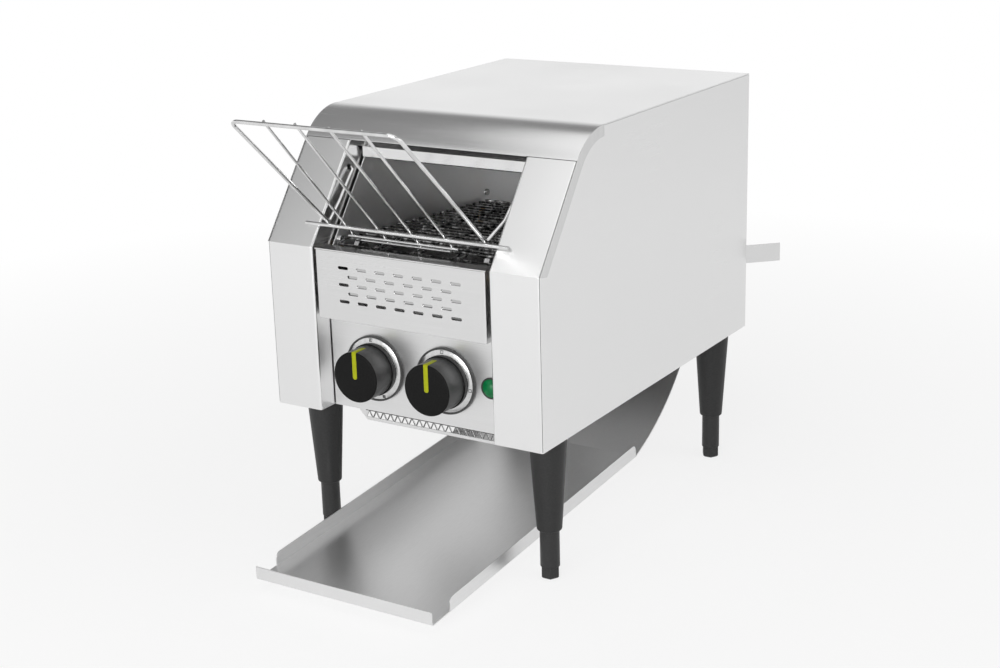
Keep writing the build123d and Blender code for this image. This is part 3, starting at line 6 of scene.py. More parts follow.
import bmesh
import bpy
from mathutils import Matrix, Vector


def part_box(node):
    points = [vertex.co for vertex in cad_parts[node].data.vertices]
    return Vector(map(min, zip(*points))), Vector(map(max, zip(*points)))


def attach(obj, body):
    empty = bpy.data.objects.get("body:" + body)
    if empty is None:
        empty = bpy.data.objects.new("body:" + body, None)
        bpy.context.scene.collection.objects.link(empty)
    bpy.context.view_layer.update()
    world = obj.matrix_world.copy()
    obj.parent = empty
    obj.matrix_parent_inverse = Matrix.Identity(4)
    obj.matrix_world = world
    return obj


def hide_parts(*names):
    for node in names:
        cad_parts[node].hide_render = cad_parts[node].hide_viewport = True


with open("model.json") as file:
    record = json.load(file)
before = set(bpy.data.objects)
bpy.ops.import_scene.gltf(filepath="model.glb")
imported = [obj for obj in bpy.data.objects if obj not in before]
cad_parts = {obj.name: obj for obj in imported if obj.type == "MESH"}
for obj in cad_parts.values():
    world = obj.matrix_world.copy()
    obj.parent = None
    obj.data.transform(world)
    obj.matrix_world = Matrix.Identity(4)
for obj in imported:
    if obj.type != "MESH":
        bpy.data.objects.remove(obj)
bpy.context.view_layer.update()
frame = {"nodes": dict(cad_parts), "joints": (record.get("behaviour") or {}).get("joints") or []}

MM = 0.001

# Camera
CAMERA_TARGET = Vector((-0.0115, 0.00752, 0.17195))
CAMERA_DISTANCE = 1.6709
CAMERA_AZIMUTH = math.radians(32.3)
CAMERA_ELEVATION = math.radians(17.3)
CAMERA_ROLL = math.radians(-1.6)
CAMERA_LENS = 61.25          # in millimetres, as is the sensor's width
CAMERA_SENSOR = 36.0

# Studio
FLOOR_RADIUS = 8.0
FLOOR_STEPS = 64
FLOOR_DROP = 0.1 * MM        # below the feet
FLOOR_CLEAN_FROM = 0.35      # from here out the floor turns into the plain white sweep
FLOOR_CLEAN_TO = 1.3
FLOOR_CLEAN_NEAR = 0.80      # how far it is plain white already under the object
FLOOR_SHINE = 0.7            # how much of that whiteness shows in reflections
WHITE_UP_TO = 0.26           # sine of the elevation up to which the sky is white
GREY_FROM = 0.47
OVERHEAD_GREY = 0.22
SKY_LIGHT = 0.3              # of the sky's brightness where it lights rather than shows
SOFTBOXES = {                # place, point it shines at, width and height, watts
    "softbox_above": ((0.25, -0.3, 1.9), (0.25, -0.3, 0), (2.2, 2.3), 14),
    "softbox_front_left": ((-1.2, -1.8, 1.9), (-0.4, -1.0, 0.3), (1.5, 1.3), 3.6),
    "softbox_front": ((0.45, -2.45, 0.85), (0, 0, 0.28), (2.0, 1.2), 38),
    "softbox_right": ((2.2, 0.3, 1.2), (0, 0, 0.2), (1.6, 1.6), 6),
}

# Colours
LIME = (0.35, 0.38, 0.002, 1)
PALE_LIME = (0.39, 0.42, 0.003, 1)
DEEP_GREEN = (0.001, 0.13, 0.036, 1)
GREEN = (0.002, 0.19, 0.055, 1)
BUFF = (0.80, 0.77, 0.68, 1)
OFF_WHITE = (0.88, 0.86, 0.79, 1)
BRONZE = (0.62, 0.44, 0.24, 1)

# Relief
SHEET_EDGE = 0.4 * MM        # rounding of a cut sheet's edges in its finish
EDGE_SAMPLES = 4

# Conveyor belt
BELT_RADIUS = 17 * MM        # from a shaft's centre to the cross wires' centre
BELT_WIRE = 2 * MM
BELT_PITCH = 12 * MM
BELT_JOINTS = 5              # rows of hooks
HOOK_ROOT = 2.4 * MM         # half width of a hook where it leaves its wire
HOOK_END = 3.8 * MM
HOOK_DROP = 2.0 * MM
HOOK_REACH = 2.2 * MM        # of a hook past the next wire

# Casing, its seams and the painted shade along them
COLUMN_LOW, COLUMN_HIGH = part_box("right_side_panel")
OPENING_HALF_WIDTH = COLUMN_LOW.x
BODY_HALF_WIDTH = COLUMN_HIGH.x
KNEE_HEIGHT = 293 * MM       # top of the columns' upright part
SLOPE_ANGLE = math.radians(37.2)      # back from upright
SLOPE_LENGTH = 108.3 * MM    # from the knee to the shoulder
SHOULDER_RADIUS = 60 * MM
SHOULDER_TURN = math.radians(90) - SLOPE_ANGLE
FLANGE_WIDTH = 10.5 * MM
FLANGE_THICKNESS = 0.5 * MM
FLANGE_END_DROP = 1.8 * MM
FLANGE_STEPS = 24
# width of the dark strips that paint the shade in the seams, and how far they stand proud
SEAM_WIDTH = 0.5 * MM
SEAM_PROUD = 0.06 * MM
EDGE_SEAM_BACK = 0.62 * MM   # from the front and from the side
EDGE_SEAM_MARGIN = 1 * MM    # above the foot of the column
EDGE_SEAM_STEPS = 16

# Lattice along the bottom of the control panel, whose openings point up and down by turns
LATTICE_FIRST = -55 * MM     # middle of the first opening, which points up
LATTICE_OPENINGS = 35
LATTICE_PITCH = 4 * MM
LATTICE_WEB = 1 * MM
LATTICE_BOTTOM = 130.5 * MM
LATTICE_TOP = 136.5 * MM
# dark lines painted along the lattice's webs as their shade: width, and how far behind the panel's front
LATTICE_LINE = 0.8 * MM
LATTICE_LINE_SUNK = 0.15 * MM

# Knobs and dials
ROUND_STEPS = 128
KNOB_RADIUS = 23.75 * MM
KNOB_LIFT = 1.2 * MM         # off the dial
SKIRT_RADIUS = 24.75 * MM
SKIRT_HEIGHT = 3.6 * MM
KNOB_GROOVE = 0.5 * MM
KNOB_FACE_EDGE = 1.4 * MM    # rounding round the face
KNOB_EDGE_STEPS = 4
KNOB_SMALL_EDGE = 0.25 * MM  # rounding of the other edges
SIDE_FACING = 0.4            # where a knob's surface faces forwards less than this, it is its side
POINTER_WIDTH = 4.6 * MM
POINTER_PROUD = 0.4 * MM
POINTER_DEPTH = 1.0 * MM     # let into the knob
POINTER_PAST_CENTRE = 1.7 * MM
POINTER_ON_SIDE = 15 * MM
POINTER_END_ROUND = 2.0 * MM
POINTER_END_STEPS = 6
RIM_OUTER = 31 * MM
RIM_INNER = 29.4 * MM
RIM_HEIGHT = 3.4 * MM
RING_INNER = 20.0 * MM
RING_CREST = 24.0 * MM
RING_OUTER_HEIGHT = 3.0 * MM
RING_INNER_HEIGHT = 4.1 * MM
DIAL_EDGE = 0.15 * MM
MARK_RADIUS = 27.2 * MM
MARK_SIZE = 3.2 * MM
MARK_LINE = 0.6 * MM
MARK_THICKNESS = 0.05 * MM
DIAL_MARKS = (("left", 94, 0.5), ("left", -68, 0.9),      # dial, degrees from its right, share filled in
              ("right", 94, 0), ("right", -10, 0))

# Heaters
TUBE_WALL = 0.9 * MM
TUBE_STEPS = 32
COIL_RADIUS = 2.7 * MM
COIL_WIRE = 0.5 * MM
COIL_PITCH = 2.0 * MM
COIL_POINTS = 10
TUBE_END_MARGIN = 16 * MM    # of the coil from the tube's ends

SHARP_ANGLE = math.radians(32)
FULL_TURN = 2 * math.pi
SAME_PLACE = MM / 1000       # points closer than this are one


# Shader nodes

class Socket:
    """A shader value. Arithmetic on it adds Math nodes."""

    def __init__(self, nodes, socket):
        self.nodes = nodes
        self.socket = socket

    def math(self, operation, *values):
        return self.nodes.add("ShaderNodeMath", {"operation": operation}, dict(enumerate(values)))

    def __add__(self, other):
        return self.math("ADD", self, other)

    def __radd__(self, other):
        return self.math("ADD", other, self)

    def __sub__(self, other):
        return self.math("SUBTRACT", self, other)

    def __rsub__(self, other):
        return self.math("SUBTRACT", other, self)

    def __mul__(self, other):
        return self.math("MULTIPLY", self, other)

    def __rmul__(self, other):
        return self.math("MULTIPLY", other, self)

    def between(self, low, high):
        """0 at low and 1 at high, and straight from one to the other."""
        return self.nodes.add("ShaderNodeMapRange", {"clamp": True},
                              {"Value": self, "From Min": low, "From Max": high})


class Nodes:
    """The nodes of a material or of the world."""

    def __init__(self, tree):
        self.tree = tree

    def add(self, kind, settings=None, inputs=None, output=0):
        """Adds a node of that kind and gives the socket of one output."""
        node = self.tree.nodes.new(kind)
        for name, value in (settings or {}).items():
            setattr(node, name, value)
        for name, value in (inputs or {}).items():
            self.join(node.inputs[name], value)
        return Socket(self, node.outputs[output])

    def join(self, socket, value):
        if isinstance(value, Socket):
            self.tree.links.new(value.socket, socket)
        else:
            socket.default_value = value

    def mix(self, share, first, second):
        """A colour between two, by a share from 0 to 1."""
        return self.add("ShaderNodeMix", {"data_type": "RGBA"}, {0: share, 6: first, 7: second}, 2)


class Finish(Nodes):
    """A material made of a principled shader and what varies over its surface."""

    def __init__(self, name, **constants):
        self.material = bpy.data.materials.new(name)
        self.material.use_nodes = True
        super().__init__(self.material.node_tree)
        self.set(**constants)

    def set(self, **values):
        """Sets or joins the shader's sockets; an underscore stands for a space in a socket's name."""
        shader = self.tree.nodes["Principled BSDF"]
        for name, value in values.items():
            self.join(shader.inputs[name.replace("_", " ")], value)

    def places(self, scale):
        coordinates = self.add("ShaderNodeTexCoord", output="Object")
        return self.add("ShaderNodeMapping", inputs={"Vector": coordinates, "Scale": scale})

    def noise(self, scale, detail=2.0):
        """Soft noise, with so many spots to the metre along each axis."""
        return self.add("ShaderNodeTexNoise", inputs={"Vector": self.places(scale), "Scale": 1.0,
                                                      "Detail": detail})

    def bump(self, height, depth, edge=0.0):
        """Relief of that depth, over edges rounded to a radius where one is given."""
        inputs = {"Height": height, "Strength": 1.0, "Distance": depth}
        if edge:
            inputs["Normal"] = self.add("ShaderNodeBevel", {"samples": EDGE_SAMPLES}, {"Radius": edge})
        self.set(Normal=self.add("ShaderNodeBump", inputs=inputs))


def grey(value, warmth=0.0):
    return (value * (1 + warmth), value, value * (1 - warmth), 1.0)


def shaded(colour, share, lift=0.0):
    """A colour made darker or lighter."""
    return (*(part * share + lift for part in colour[:3]), 1.0)


def stretched(axis, along, across):
    """Spots to the metre along X, Y and Z: one number for the given axis and one for the others."""
    return tuple(along if name == axis else across for name in "XYZ")


# Finishes

def brushed_steel(name, axis, light, dark, roughness=0.23, depth=0.002 * MM):
    """Sheet steel with fine lines brushed along one axis."""
    finish = Finish(name, Metallic=1.0)
    fine = finish.noise(stretched(axis, 14, 1700), 3)
    broad = finish.noise(stretched(axis, 2, 90), 2)
    smudge = finish.noise((7, 7, 7), 3)
    lines = fine * 0.9 + broad * 0.1
    finish.set(Base_Color=finish.mix(lines.between(0.3, 0.7), grey(dark), grey(light)),
               Roughness=roughness - 0.05 + lines * 0.1 + smudge.between(0.35, 0.75) * 0.04)
    finish.bump(fine, depth, SHEET_EDGE)
    return finish.material


def chamber_steel(name, axis, metallic, roughness):
    """Rolled steel round the hot space, faintly straw-tinted in patches."""
    finish = Finish(name, Metallic=metallic)
    lines = finish.noise(stretched(axis, 12, 700), 3)
    patches = finish.noise((11, 16, 16), 3)
    colour = finish.mix(patches.between(0.45, 0.8), grey(0.96), grey(0.90, 0.02))
    finish.set(Base_Color=colour, Roughness=roughness + lines * 0.12 + patches * 0.06)
    finish.bump(lines, 0.008 * MM, SHEET_EDGE)
    return finish.material


def bright_steel(name, axis, light):
    """Bright annealed sheet, hardly marked."""
    finish = Finish(name, Metallic=1.0, Base_Color=grey(light))
    lines = finish.noise(stretched(axis, 10, 500), 2)
    finish.set(Roughness=0.13 + lines * 0.08)
    finish.bump(lines, 0.006 * MM, SHEET_EDGE)
    return finish.material


def belt_wire():
    """Drawn wire blackened by the heat, with spots painted bright as highlights."""
    finish = Finish("belt_wire", Metallic=1.0)
    scale = finish.noise((260, 60, 60), 4)
    stain = finish.noise((40, 25, 25), 2)
    dark = finish.mix(stain.between(0.4, 0.65), grey(0.06), grey(0.08, 0.03))
    # the grey(0.55) spots are painted highlights on the wires
    finish.set(Base_Color=finish.mix(scale.between(0.5, 0.7), dark, grey(0.55)),
               Roughness=0.18 + scale * 0.2)
    finish.bump(scale, 0.03 * MM)
    return finish.material


def rack_wire():
    """Polished drawn wire with faint duller spots."""
    finish = Finish("rack_wire", Metallic=1.0)
    marks = finish.noise((70, 70, 70), 4)
    finish.set(Base_Color=finish.mix(marks.between(0.35, 0.7), grey(0.70), grey(0.84)),
               Roughness=0.10 + marks * 0.10)
    finish.bump(marks, 0.01 * MM)
    return finish.material


def turned_metal(name, colour, roughness, axis="X"):
    """Turned metal with fine rings square to its axis."""
    finish = Finish(name, Metallic=1.0)
    rings = finish.noise(stretched(axis, 1600, 60), 2)
    finish.set(Base_Color=finish.mix(rings.between(0.3, 0.7), shaded(colour, 0.8), colour),
               Roughness=roughness + rings * 0.12)
    finish.bump(rings, 0.008 * MM, 0.25 * MM)
    return finish.material


def grained_plastic(name, colour, roughness, grain=650, depth=0.02 * MM, edge=0.5 * MM, shine=0.4):
    """Moulded plastic with a fine spark-eroded grain and slightly polished rubs."""
    finish = Finish(name, Specular_IOR_Level=shine)
    spots = finish.noise((grain, grain, grain), 3)
    rubs = finish.noise((22, 22, 22), 3)
    finish.set(Base_Color=finish.mix(spots.between(0.35, 0.7), colour, shaded(colour, 1.25, 0.004)),
               Roughness=roughness + spots * 0.12 - rubs.between(0.5, 0.8) * 0.08)
    finish.bump(spots, depth, edge)
    return finish.material


def pointer_paint():
    """Lime paint, slightly uneven."""
    finish = Finish("pointer_paint", Specular_IOR_Level=0.25)
    uneven = finish.noise((300, 300, 300), 2)
    finish.set(Base_Color=finish.mix(uneven.between(0.3, 0.7), LIME, PALE_LIME),
               Roughness=0.38 + uneven * 0.1)
    finish.bump(uneven, 0.01 * MM, 0.3 * MM)
    return finish.material


def satin_aluminium():
    """Turned satin aluminium of the dial rings."""
    finish = Finish("satin_aluminium", Metallic=1.0)
    lines = finish.noise((260, 20, 260), 3)
    finish.set(Base_Color=finish.mix(lines.between(0.3, 0.7), grey(0.60), grey(0.70)),
               Roughness=0.16 + lines * 0.08)
    finish.bump(lines, 0.004 * MM, 0.2 * MM)
    return finish.material


def lens_green():
    """Green lens over a lamp that is off."""
    finish = Finish("lens_green", IOR=1.49, Specular_IOR_Level=0.3)
    depth = finish.noise((190, 190, 190), 2)
    finish.set(Base_Color=finish.mix(depth.between(0.3, 0.7), DEEP_GREEN, GREEN),
               Roughness=0.22 + depth * 0.08)
    finish.bump(depth, 0.006 * MM)
    return finish.material


def quartz_glass():
    """Clear quartz with a faint haze."""
    finish = Finish("quartz_glass", IOR=1.46, Transmission_Weight=0.95, Base_Color=grey(0.96))
    haze = finish.noise((60, 120, 120), 3)
    finish.set(Roughness=0.03 + haze.between(0.4, 0.8) * 0.12)
    return finish.material


def ceramic():
    """Unglazed ceramic, slightly speckled."""
    finish = Finish("ceramic")
    specks = finish.noise((420, 420, 420), 3)
    finish.set(Base_Color=finish.mix(specks.between(0.35, 0.75), BUFF, OFF_WHITE),
               Roughness=0.62 + specks * 0.2)
    finish.bump(specks, 0.04 * MM, 0.5 * MM)
    return finish.material


def resistance_wire():
    """Grey oxidised resistance wire."""
    finish = Finish("resistance_wire", Metallic=1.0)
    spots = finish.noise((500, 500, 500), 2)
    finish.set(Base_Color=finish.mix(spots, grey(0.22), grey(0.38, 0.05)), Roughness=0.4 + spots * 0.2)
    return finish.material


def seam_shade():
    """Dark strips painting the shade in the joint between two sheets, and the shade on the lattice's webs."""
    finish = Finish("seam_shade", Specular_IOR_Level=0.2)
    uneven_shade = finish.noise((700, 700, 700), 2)
    finish.set(Base_Color=finish.mix(uneven_shade.between(0.3, 0.8), grey(0.04), grey(0.10)),
               Roughness=0.6 + uneven_shade * 0.2)
    return finish.material


def dial_print():
    """Dark print on the dial rings."""
    finish = Finish("dial_print")
    wear = finish.noise((900, 900, 900), 2)
    finish.set(Base_Color=finish.mix(wear.between(0.3, 0.8), grey(0.05), grey(0.12)),
               Roughness=0.5 + wear * 0.2)
    return finish.material


# Building new pieces

def turned(profile, steps, closed=False):
    """A profile of radii and heights, turned round the Z axis."""
    shape = bmesh.new()
    points = [shape.verts.new((radius, 0, height)) for radius, height in profile]
    pairs = list(zip(points, points[1:]))
    if closed:
        pairs.append((points[-1], points[0]))
    edges = [shape.edges.new(pair) for pair in pairs]
    bmesh.ops.spin(shape, geom=points + edges, cent=(0, 0, 0), axis=(0, 0, 1), dvec=(0, 0, 0),
                   angle=FULL_TURN, steps=steps, use_merge=True)
    bmesh.ops.remove_doubles(shape, verts=shape.verts, dist=SAME_PLACE)
    bmesh.ops.recalc_face_normals(shape, faces=shape.faces)
    return shape


def soften(shape, width, segments=2):
    """Rounds every sharp edge."""
    sharp = [edge for edge in shape.edges if edge.is_manifold and edge.calc_face_angle() > SHARP_ANGLE]
    bmesh.ops.bevel(shape, geom=sharp, offset=width, offset_type="OFFSET", affect="EDGES",
                    segments=segments, profile=0.5, material=-1, clamp_overlap=True)


def thicken(shape, offset):
    """Makes a sheet of faces a closed body by moving a copy of it."""
    copy = bmesh.ops.extrude_face_region(shape, geom=shape.faces[:])["geom"]
    bmesh.ops.translate(shape, vec=offset,
                        verts=[part for part in copy if isinstance(part, bmesh.types.BMVert)])
    bmesh.ops.recalc_face_normals(shape, faces=shape.faces)


def wires(name, lines, diameter, roundness=1):
    """A mesh of round wires along lists of points."""
    curve = bpy.data.curves.new(name, "CURVE")
    curve.dimensions = "3D"
    curve.bevel_depth = diameter / 2
    curve.bevel_resolution = roundness
    curve.use_fill_caps = True
    for points in lines:
        spline = curve.splines.new("POLY")
        spline.points.add(len(points) - 1)
        for point, place in zip(spline.points, points):
            point.co = (*place, 1.0)
    helper = bpy.data.objects.new(name, curve)
    mesh = bpy.data.meshes.new_from_object(helper)
    bpy.data.objects.remove(helper)
    shape = bmesh.new()
    shape.from_mesh(mesh)
    bpy.data.meshes.remove(mesh)
    return shape


def add_to(whole, shape):
    """Adds a finished shape to another."""
    mesh = bpy.data.meshes.new("part_of_a_piece")
    shape.to_mesh(mesh)
    shape.free()
    whole.from_mesh(mesh)
    bpy.data.meshes.remove(mesh)


def piece(name, shape, body, material, stands_for=()):
    """Makes a finished piece of a shape that is already in its place."""
    mesh = bpy.data.meshes.new(name)
    shape.to_mesh(mesh)
    shape.free()
    mesh.materials.append(material)
    mesh.polygons.foreach_set("use_smooth", [True] * len(mesh.polygons))
    mesh.set_sharp_from_angle(angle=SHARP_ANGLE)
    thing = bpy.data.objects.new(name, mesh)
    bpy.context.collection.objects.link(thing)
    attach(thing, body)
    if stands_for:
        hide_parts(*stands_for)
    return thing


def joint_place(name):
    """A point on a joint's axis."""
    return Vector(next(joint["pos_m"] for joint in frame["joints"] if joint["name"] == name))


def facing_front(centre):
    """Turns a piece made along Z to point forwards from a place."""
    return Matrix.Translation(centre) @ Matrix.Rotation(math.radians(90), 4, "X")


# Casing seams and the painted shade along them

def on_the_slope(distance, inward=0.0):
    """Depth and height of a point up the sloping front from the knee, and behind it."""
    return (COLUMN_LOW.y + distance * math.sin(SLOPE_ANGLE) + inward * math.cos(SLOPE_ANGLE),
            KNEE_HEIGHT + distance * math.cos(SLOPE_ANGLE) - inward * math.sin(SLOPE_ANGLE))


def shoulder_flange(side, metal):
    """Flange of the front sheet folded onto the side panel, up the slope and round the shoulder."""
    face = side * BODY_HALF_WIDTH
    foot_along = -FLANGE_END_DROP / math.cos(SLOPE_ANGLE) + FLANGE_WIDTH * math.tan(SLOPE_ANGLE)
    shape = bmesh.new()
    foot = [shape.verts.new((face, *on_the_slope(along, inward)))
            for along, inward in ((0, 0), (foot_along, FLANGE_WIDTH))]
    head = [shape.verts.new((face, *on_the_slope(SLOPE_LENGTH, inward))) for inward in (0, FLANGE_WIDTH)]
    shape.faces.new((*foot, *reversed(head)))
    rim = shape.edges.get(head)
    centre = on_the_slope(SLOPE_LENGTH, SHOULDER_RADIUS)
    bmesh.ops.spin(shape, geom=[*head, rim], cent=(face, *centre), axis=(-1, 0, 0), dvec=(0, 0, 0),
                   angle=SHOULDER_TURN, steps=FLANGE_STEPS)
    bmesh.ops.recalc_face_normals(shape, faces=shape.faces)
    thicken(shape, (side * FLANGE_THICKNESS, 0, 0))
    name = "right" if side > 0 else "left"
    piece(f"{name}_shoulder_flange", shape, "casing", metal)


def hood_seam_shade(shade):
    """A dark strip painting the shade in the joint between the hood and the top of each column."""
    pair = bmesh.new()
    for side in (-1, 1):
        shape = bmesh.new()
        corners = [(side * x, *on_the_slope(SLOPE_LENGTH + along, -SEAM_PROUD))
                   for x, along in ((OPENING_HALF_WIDTH, -SEAM_WIDTH / 2), (BODY_HALF_WIDTH, -SEAM_WIDTH / 2),
                                    (BODY_HALF_WIDTH, SEAM_WIDTH / 2), (OPENING_HALF_WIDTH, SEAM_WIDTH / 2))]
        shape.faces.new([shape.verts.new(corner) for corner in corners])
        bmesh.ops.recalc_face_normals(shape, faces=shape.faces)
        bmesh.ops.solidify(shape, geom=shape.faces[:], thickness=SEAM_PROUD * 2)
        bmesh.ops.recalc_face_normals(shape, faces=shape.faces)
        add_to(pair, shape)
    piece("hood_seam_shade", pair, "casing", shade)


def edge_seam_shade(shade):
    """A dark round strip painting the shade in the joint between the front sheet and each side panel, up each
    column's edge and round the shoulder.
    """
    depth, height = on_the_slope(SLOPE_LENGTH, SHOULDER_RADIUS)
    radius = SHOULDER_RADIUS - EDGE_SEAM_BACK
    angles = [SLOPE_ANGLE + SHOULDER_TURN * step / EDGE_SEAM_STEPS for step in range(EDGE_SEAM_STEPS + 1)]
    front = COLUMN_LOW.y + EDGE_SEAM_BACK
    path = [(front, COLUMN_LOW.z + EDGE_SEAM_MARGIN), (front, on_the_slope(0, EDGE_SEAM_BACK)[1]),
            *[(depth - radius * math.cos(angle), height + radius * math.sin(angle)) for angle in angles]]
    lines = [[(side * (BODY_HALF_WIDTH - EDGE_SEAM_BACK), *place) for place in path] for side in (-1, 1)]
    piece("edge_seam_shade", wires("edge_seam_shade", lines, SEAM_WIDTH), "casing", shade)


def lattice_lines(shade):
    """Dark lines painting the shade along the webs of the lattice and along its top."""
    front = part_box("control_panel")[0].y + LATTICE_LINE_SUNK
    near, far = LATTICE_WEB / 2, LATTICE_PITCH - LATTICE_WEB / 2
    lines = []
    for index in range(LATTICE_OPENINGS - 1):
        middle = LATTICE_FIRST + LATTICE_PITCH * index
        at_top, at_bottom = (near, far) if index % 2 == 0 else (far, near)
        lines.append([(middle + at_bottom, front, LATTICE_BOTTOM), (middle + at_top, front, LATTICE_TOP)])
    ends = (LATTICE_FIRST - far, LATTICE_FIRST + LATTICE_PITCH * LATTICE_OPENINGS)
    lines.append([(end, front, LATTICE_TOP + near) for end in ends])
    piece("lattice_shade_lines", wires("lattice_shade_lines", lines, LATTICE_LINE), "casing", shade)


# Conveyor belt

def round_the_belt(distance, spacing):
    """Place along and above the line of the shafts and outward angle, at a distance round the loop."""
    turn = math.pi * BELT_RADIUS
    distance %= 2 * (spacing + turn)
    if distance < spacing:
        return distance, BELT_RADIUS, 0.0
    if distance < spacing + turn:
        angle = (distance - spacing) / BELT_RADIUS
        return spacing + BELT_RADIUS * math.sin(angle), BELT_RADIUS * math.cos(angle), angle
    if distance < 2 * spacing + turn:
        return 2 * spacing + turn - distance, -BELT_RADIUS, math.pi
    angle = math.pi + (distance - 2 * spacing - turn) / BELT_RADIUS
    return BELT_RADIUS * math.sin(angle), BELT_RADIUS * math.cos(angle), angle


def strand(half_width):
    """One cross wire with its hooks, as places across, forward of its line and out of the belt."""
    past = BELT_PITCH + HOOK_REACH
    edge = half_width - BELT_WIRE / 2
    points = [(-edge + HOOK_END, past, 0), (-edge, past, 0), (-edge, BELT_PITCH, -HOOK_DROP),
              (-edge, BELT_WIRE, -HOOK_DROP / 2), (-edge, 0, 0)]
    spread = 2 * (half_width - BELT_WIRE) / (BELT_JOINTS - 1)
    for joint in range(1, BELT_JOINTS - 1):
        middle = -half_width + BELT_WIRE + spread * joint
        half_hook = [(HOOK_ROOT + BELT_WIRE / 2, 0, 0), (HOOK_ROOT, BELT_WIRE / 2, 0),
                     (HOOK_ROOT, BELT_WIRE, -HOOK_DROP / 2), (HOOK_END, BELT_PITCH, -HOOK_DROP),
                     (HOOK_END, past, 0)]
        points += [(middle - x, forward, out) for x, forward, out in half_hook]
        points += [(middle + x, forward, out) for x, forward, out in reversed(half_hook)]
    points += [(-x, forward, out) for x, forward, out in reversed(points[:5])]
    return points


def wire_belt():
    """The strands all round the two shafts, each hooked to the next."""
    half_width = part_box("conveyor_belt")[1].x
    front = joint_place("front_shaft_spin")
    line = joint_place("rear_shaft_spin") - front
    spacing = line.length
    along = line.normalized()
    above = Vector((1, 0, 0)).cross(along)
    length = 2 * spacing + FULL_TURN * BELT_RADIUS
    count = round(length / BELT_PITCH)
    lines = []
    for index in range(count):
        points = []
        for x, forward, out in strand(half_width):
            ahead, up, angle = round_the_belt(length * index / count + forward, spacing)
            ahead += out * math.sin(angle)
            up += out * math.cos(angle)
            points.append(front + Vector((x, 0, 0)) + along * ahead + above * up)
        lines.append(points)
    piece("wire_belt", wires("wire_belt", lines, BELT_WIRE), "casing", belt_wire(),
          ["conveyor_belt"])


# Knobs and dials

def knob(side, face_plastic, lit_side_plastic):
    """A skirted knob with a groove above its skirt, its side glossier than its face and painted lighter, as
    lit from the side.
    """
    low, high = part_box(f"{side}_knob")
    height = high.y - low.y - KNOB_LIFT
    groove, groove_top = KNOB_RADIUS - KNOB_GROOVE, SKIRT_HEIGHT + 2 * KNOB_GROOVE
    angles = [math.radians(90) * step / KNOB_EDGE_STEPS for step in range(KNOB_EDGE_STEPS + 1)]
    rounding = [(KNOB_RADIUS - KNOB_FACE_EDGE * (1 - math.cos(angle)),
                 height - KNOB_FACE_EDGE * (1 - math.sin(angle))) for angle in angles]
    profile = [(0, 0), (SKIRT_RADIUS, 0), (SKIRT_RADIUS, SKIRT_HEIGHT), (groove, SKIRT_HEIGHT),
               (groove, groove_top), (KNOB_RADIUS, groove_top), *rounding, (0, height)]
    shape = turned(profile, ROUND_STEPS)
    soften(shape, KNOB_SMALL_EDGE)
    centre = Vector(((low.x + high.x) / 2, high.y - KNOB_LIFT, (low.z + high.z) / 2))
    shape.transform(facing_front(centre))
    thing = piece(f"{side}_control_knob", shape, f"{side}_dial", face_plastic,
                  [f"{side}_knob"])
    thing.data.materials.append(lit_side_plastic)
    for polygon in thing.data.polygons:
        polygon.material_index = int(abs(polygon.normal.y) < SIDE_FACING)


def pointer(side, paint):
    """Bar let into a knob's face, and bent back along its top."""
    low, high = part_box(f"{side}_knob")
    x, z = (low.x + high.x) / 2, (low.z + high.z) / 2
    front, top = low.y - POINTER_PROUD, z + KNOB_RADIUS + POINTER_PROUD
    inner_front, inner_top = low.y + POINTER_DEPTH, z + KNOB_RADIUS - POINTER_DEPTH
    end, foot = low.y + POINTER_ON_SIDE, z - POINTER_PAST_CENTRE
    shape = bmesh.new()
    corners = [(front, foot), (front, top), (end, top), (end, inner_top),
               (inner_front, inner_top), (inner_front, foot)]
    shape.faces.new([shape.verts.new((x - POINTER_WIDTH / 2, *corner)) for corner in corners])
    thicken(shape, (POINTER_WIDTH, 0, 0))
    foot_edges = [edge for edge in shape.edges
                  if all(abs(vert.co.z - foot) < SAME_PLACE for vert in edge.verts)
                  and abs(edge.verts[0].co.x - edge.verts[1].co.x) < SAME_PLACE]
    bmesh.ops.bevel(shape, geom=foot_edges, offset=POINTER_END_ROUND, offset_type="OFFSET", affect="EDGES",
                    segments=POINTER_END_STEPS, profile=0.5, material=-1)
    soften(shape, POINTER_PROUD, 3)
    piece(f"{side}_pointer_bar", shape, f"{side}_dial", paint, [f"{side}_pointer"])


def dial_centres():
    """The middle of the left and of the right dial, on the front of the control panel."""
    low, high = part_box("dial_rims")
    radius = (high.z - low.z) / 2
    return {side: Vector((x, high.y, low.z + radius))
            for side, x in (("left", low.x + radius), ("right", high.x - radius))}


def both_dials(profile):
    """A closed profile turned round the axis of each dial."""
    pair = bmesh.new()
    for centre in dial_centres().values():
        shape = turned(profile, ROUND_STEPS, closed=True)
        soften(shape, DIAL_EDGE)
        shape.transform(facing_front(centre))
        add_to(pair, shape)
    return pair


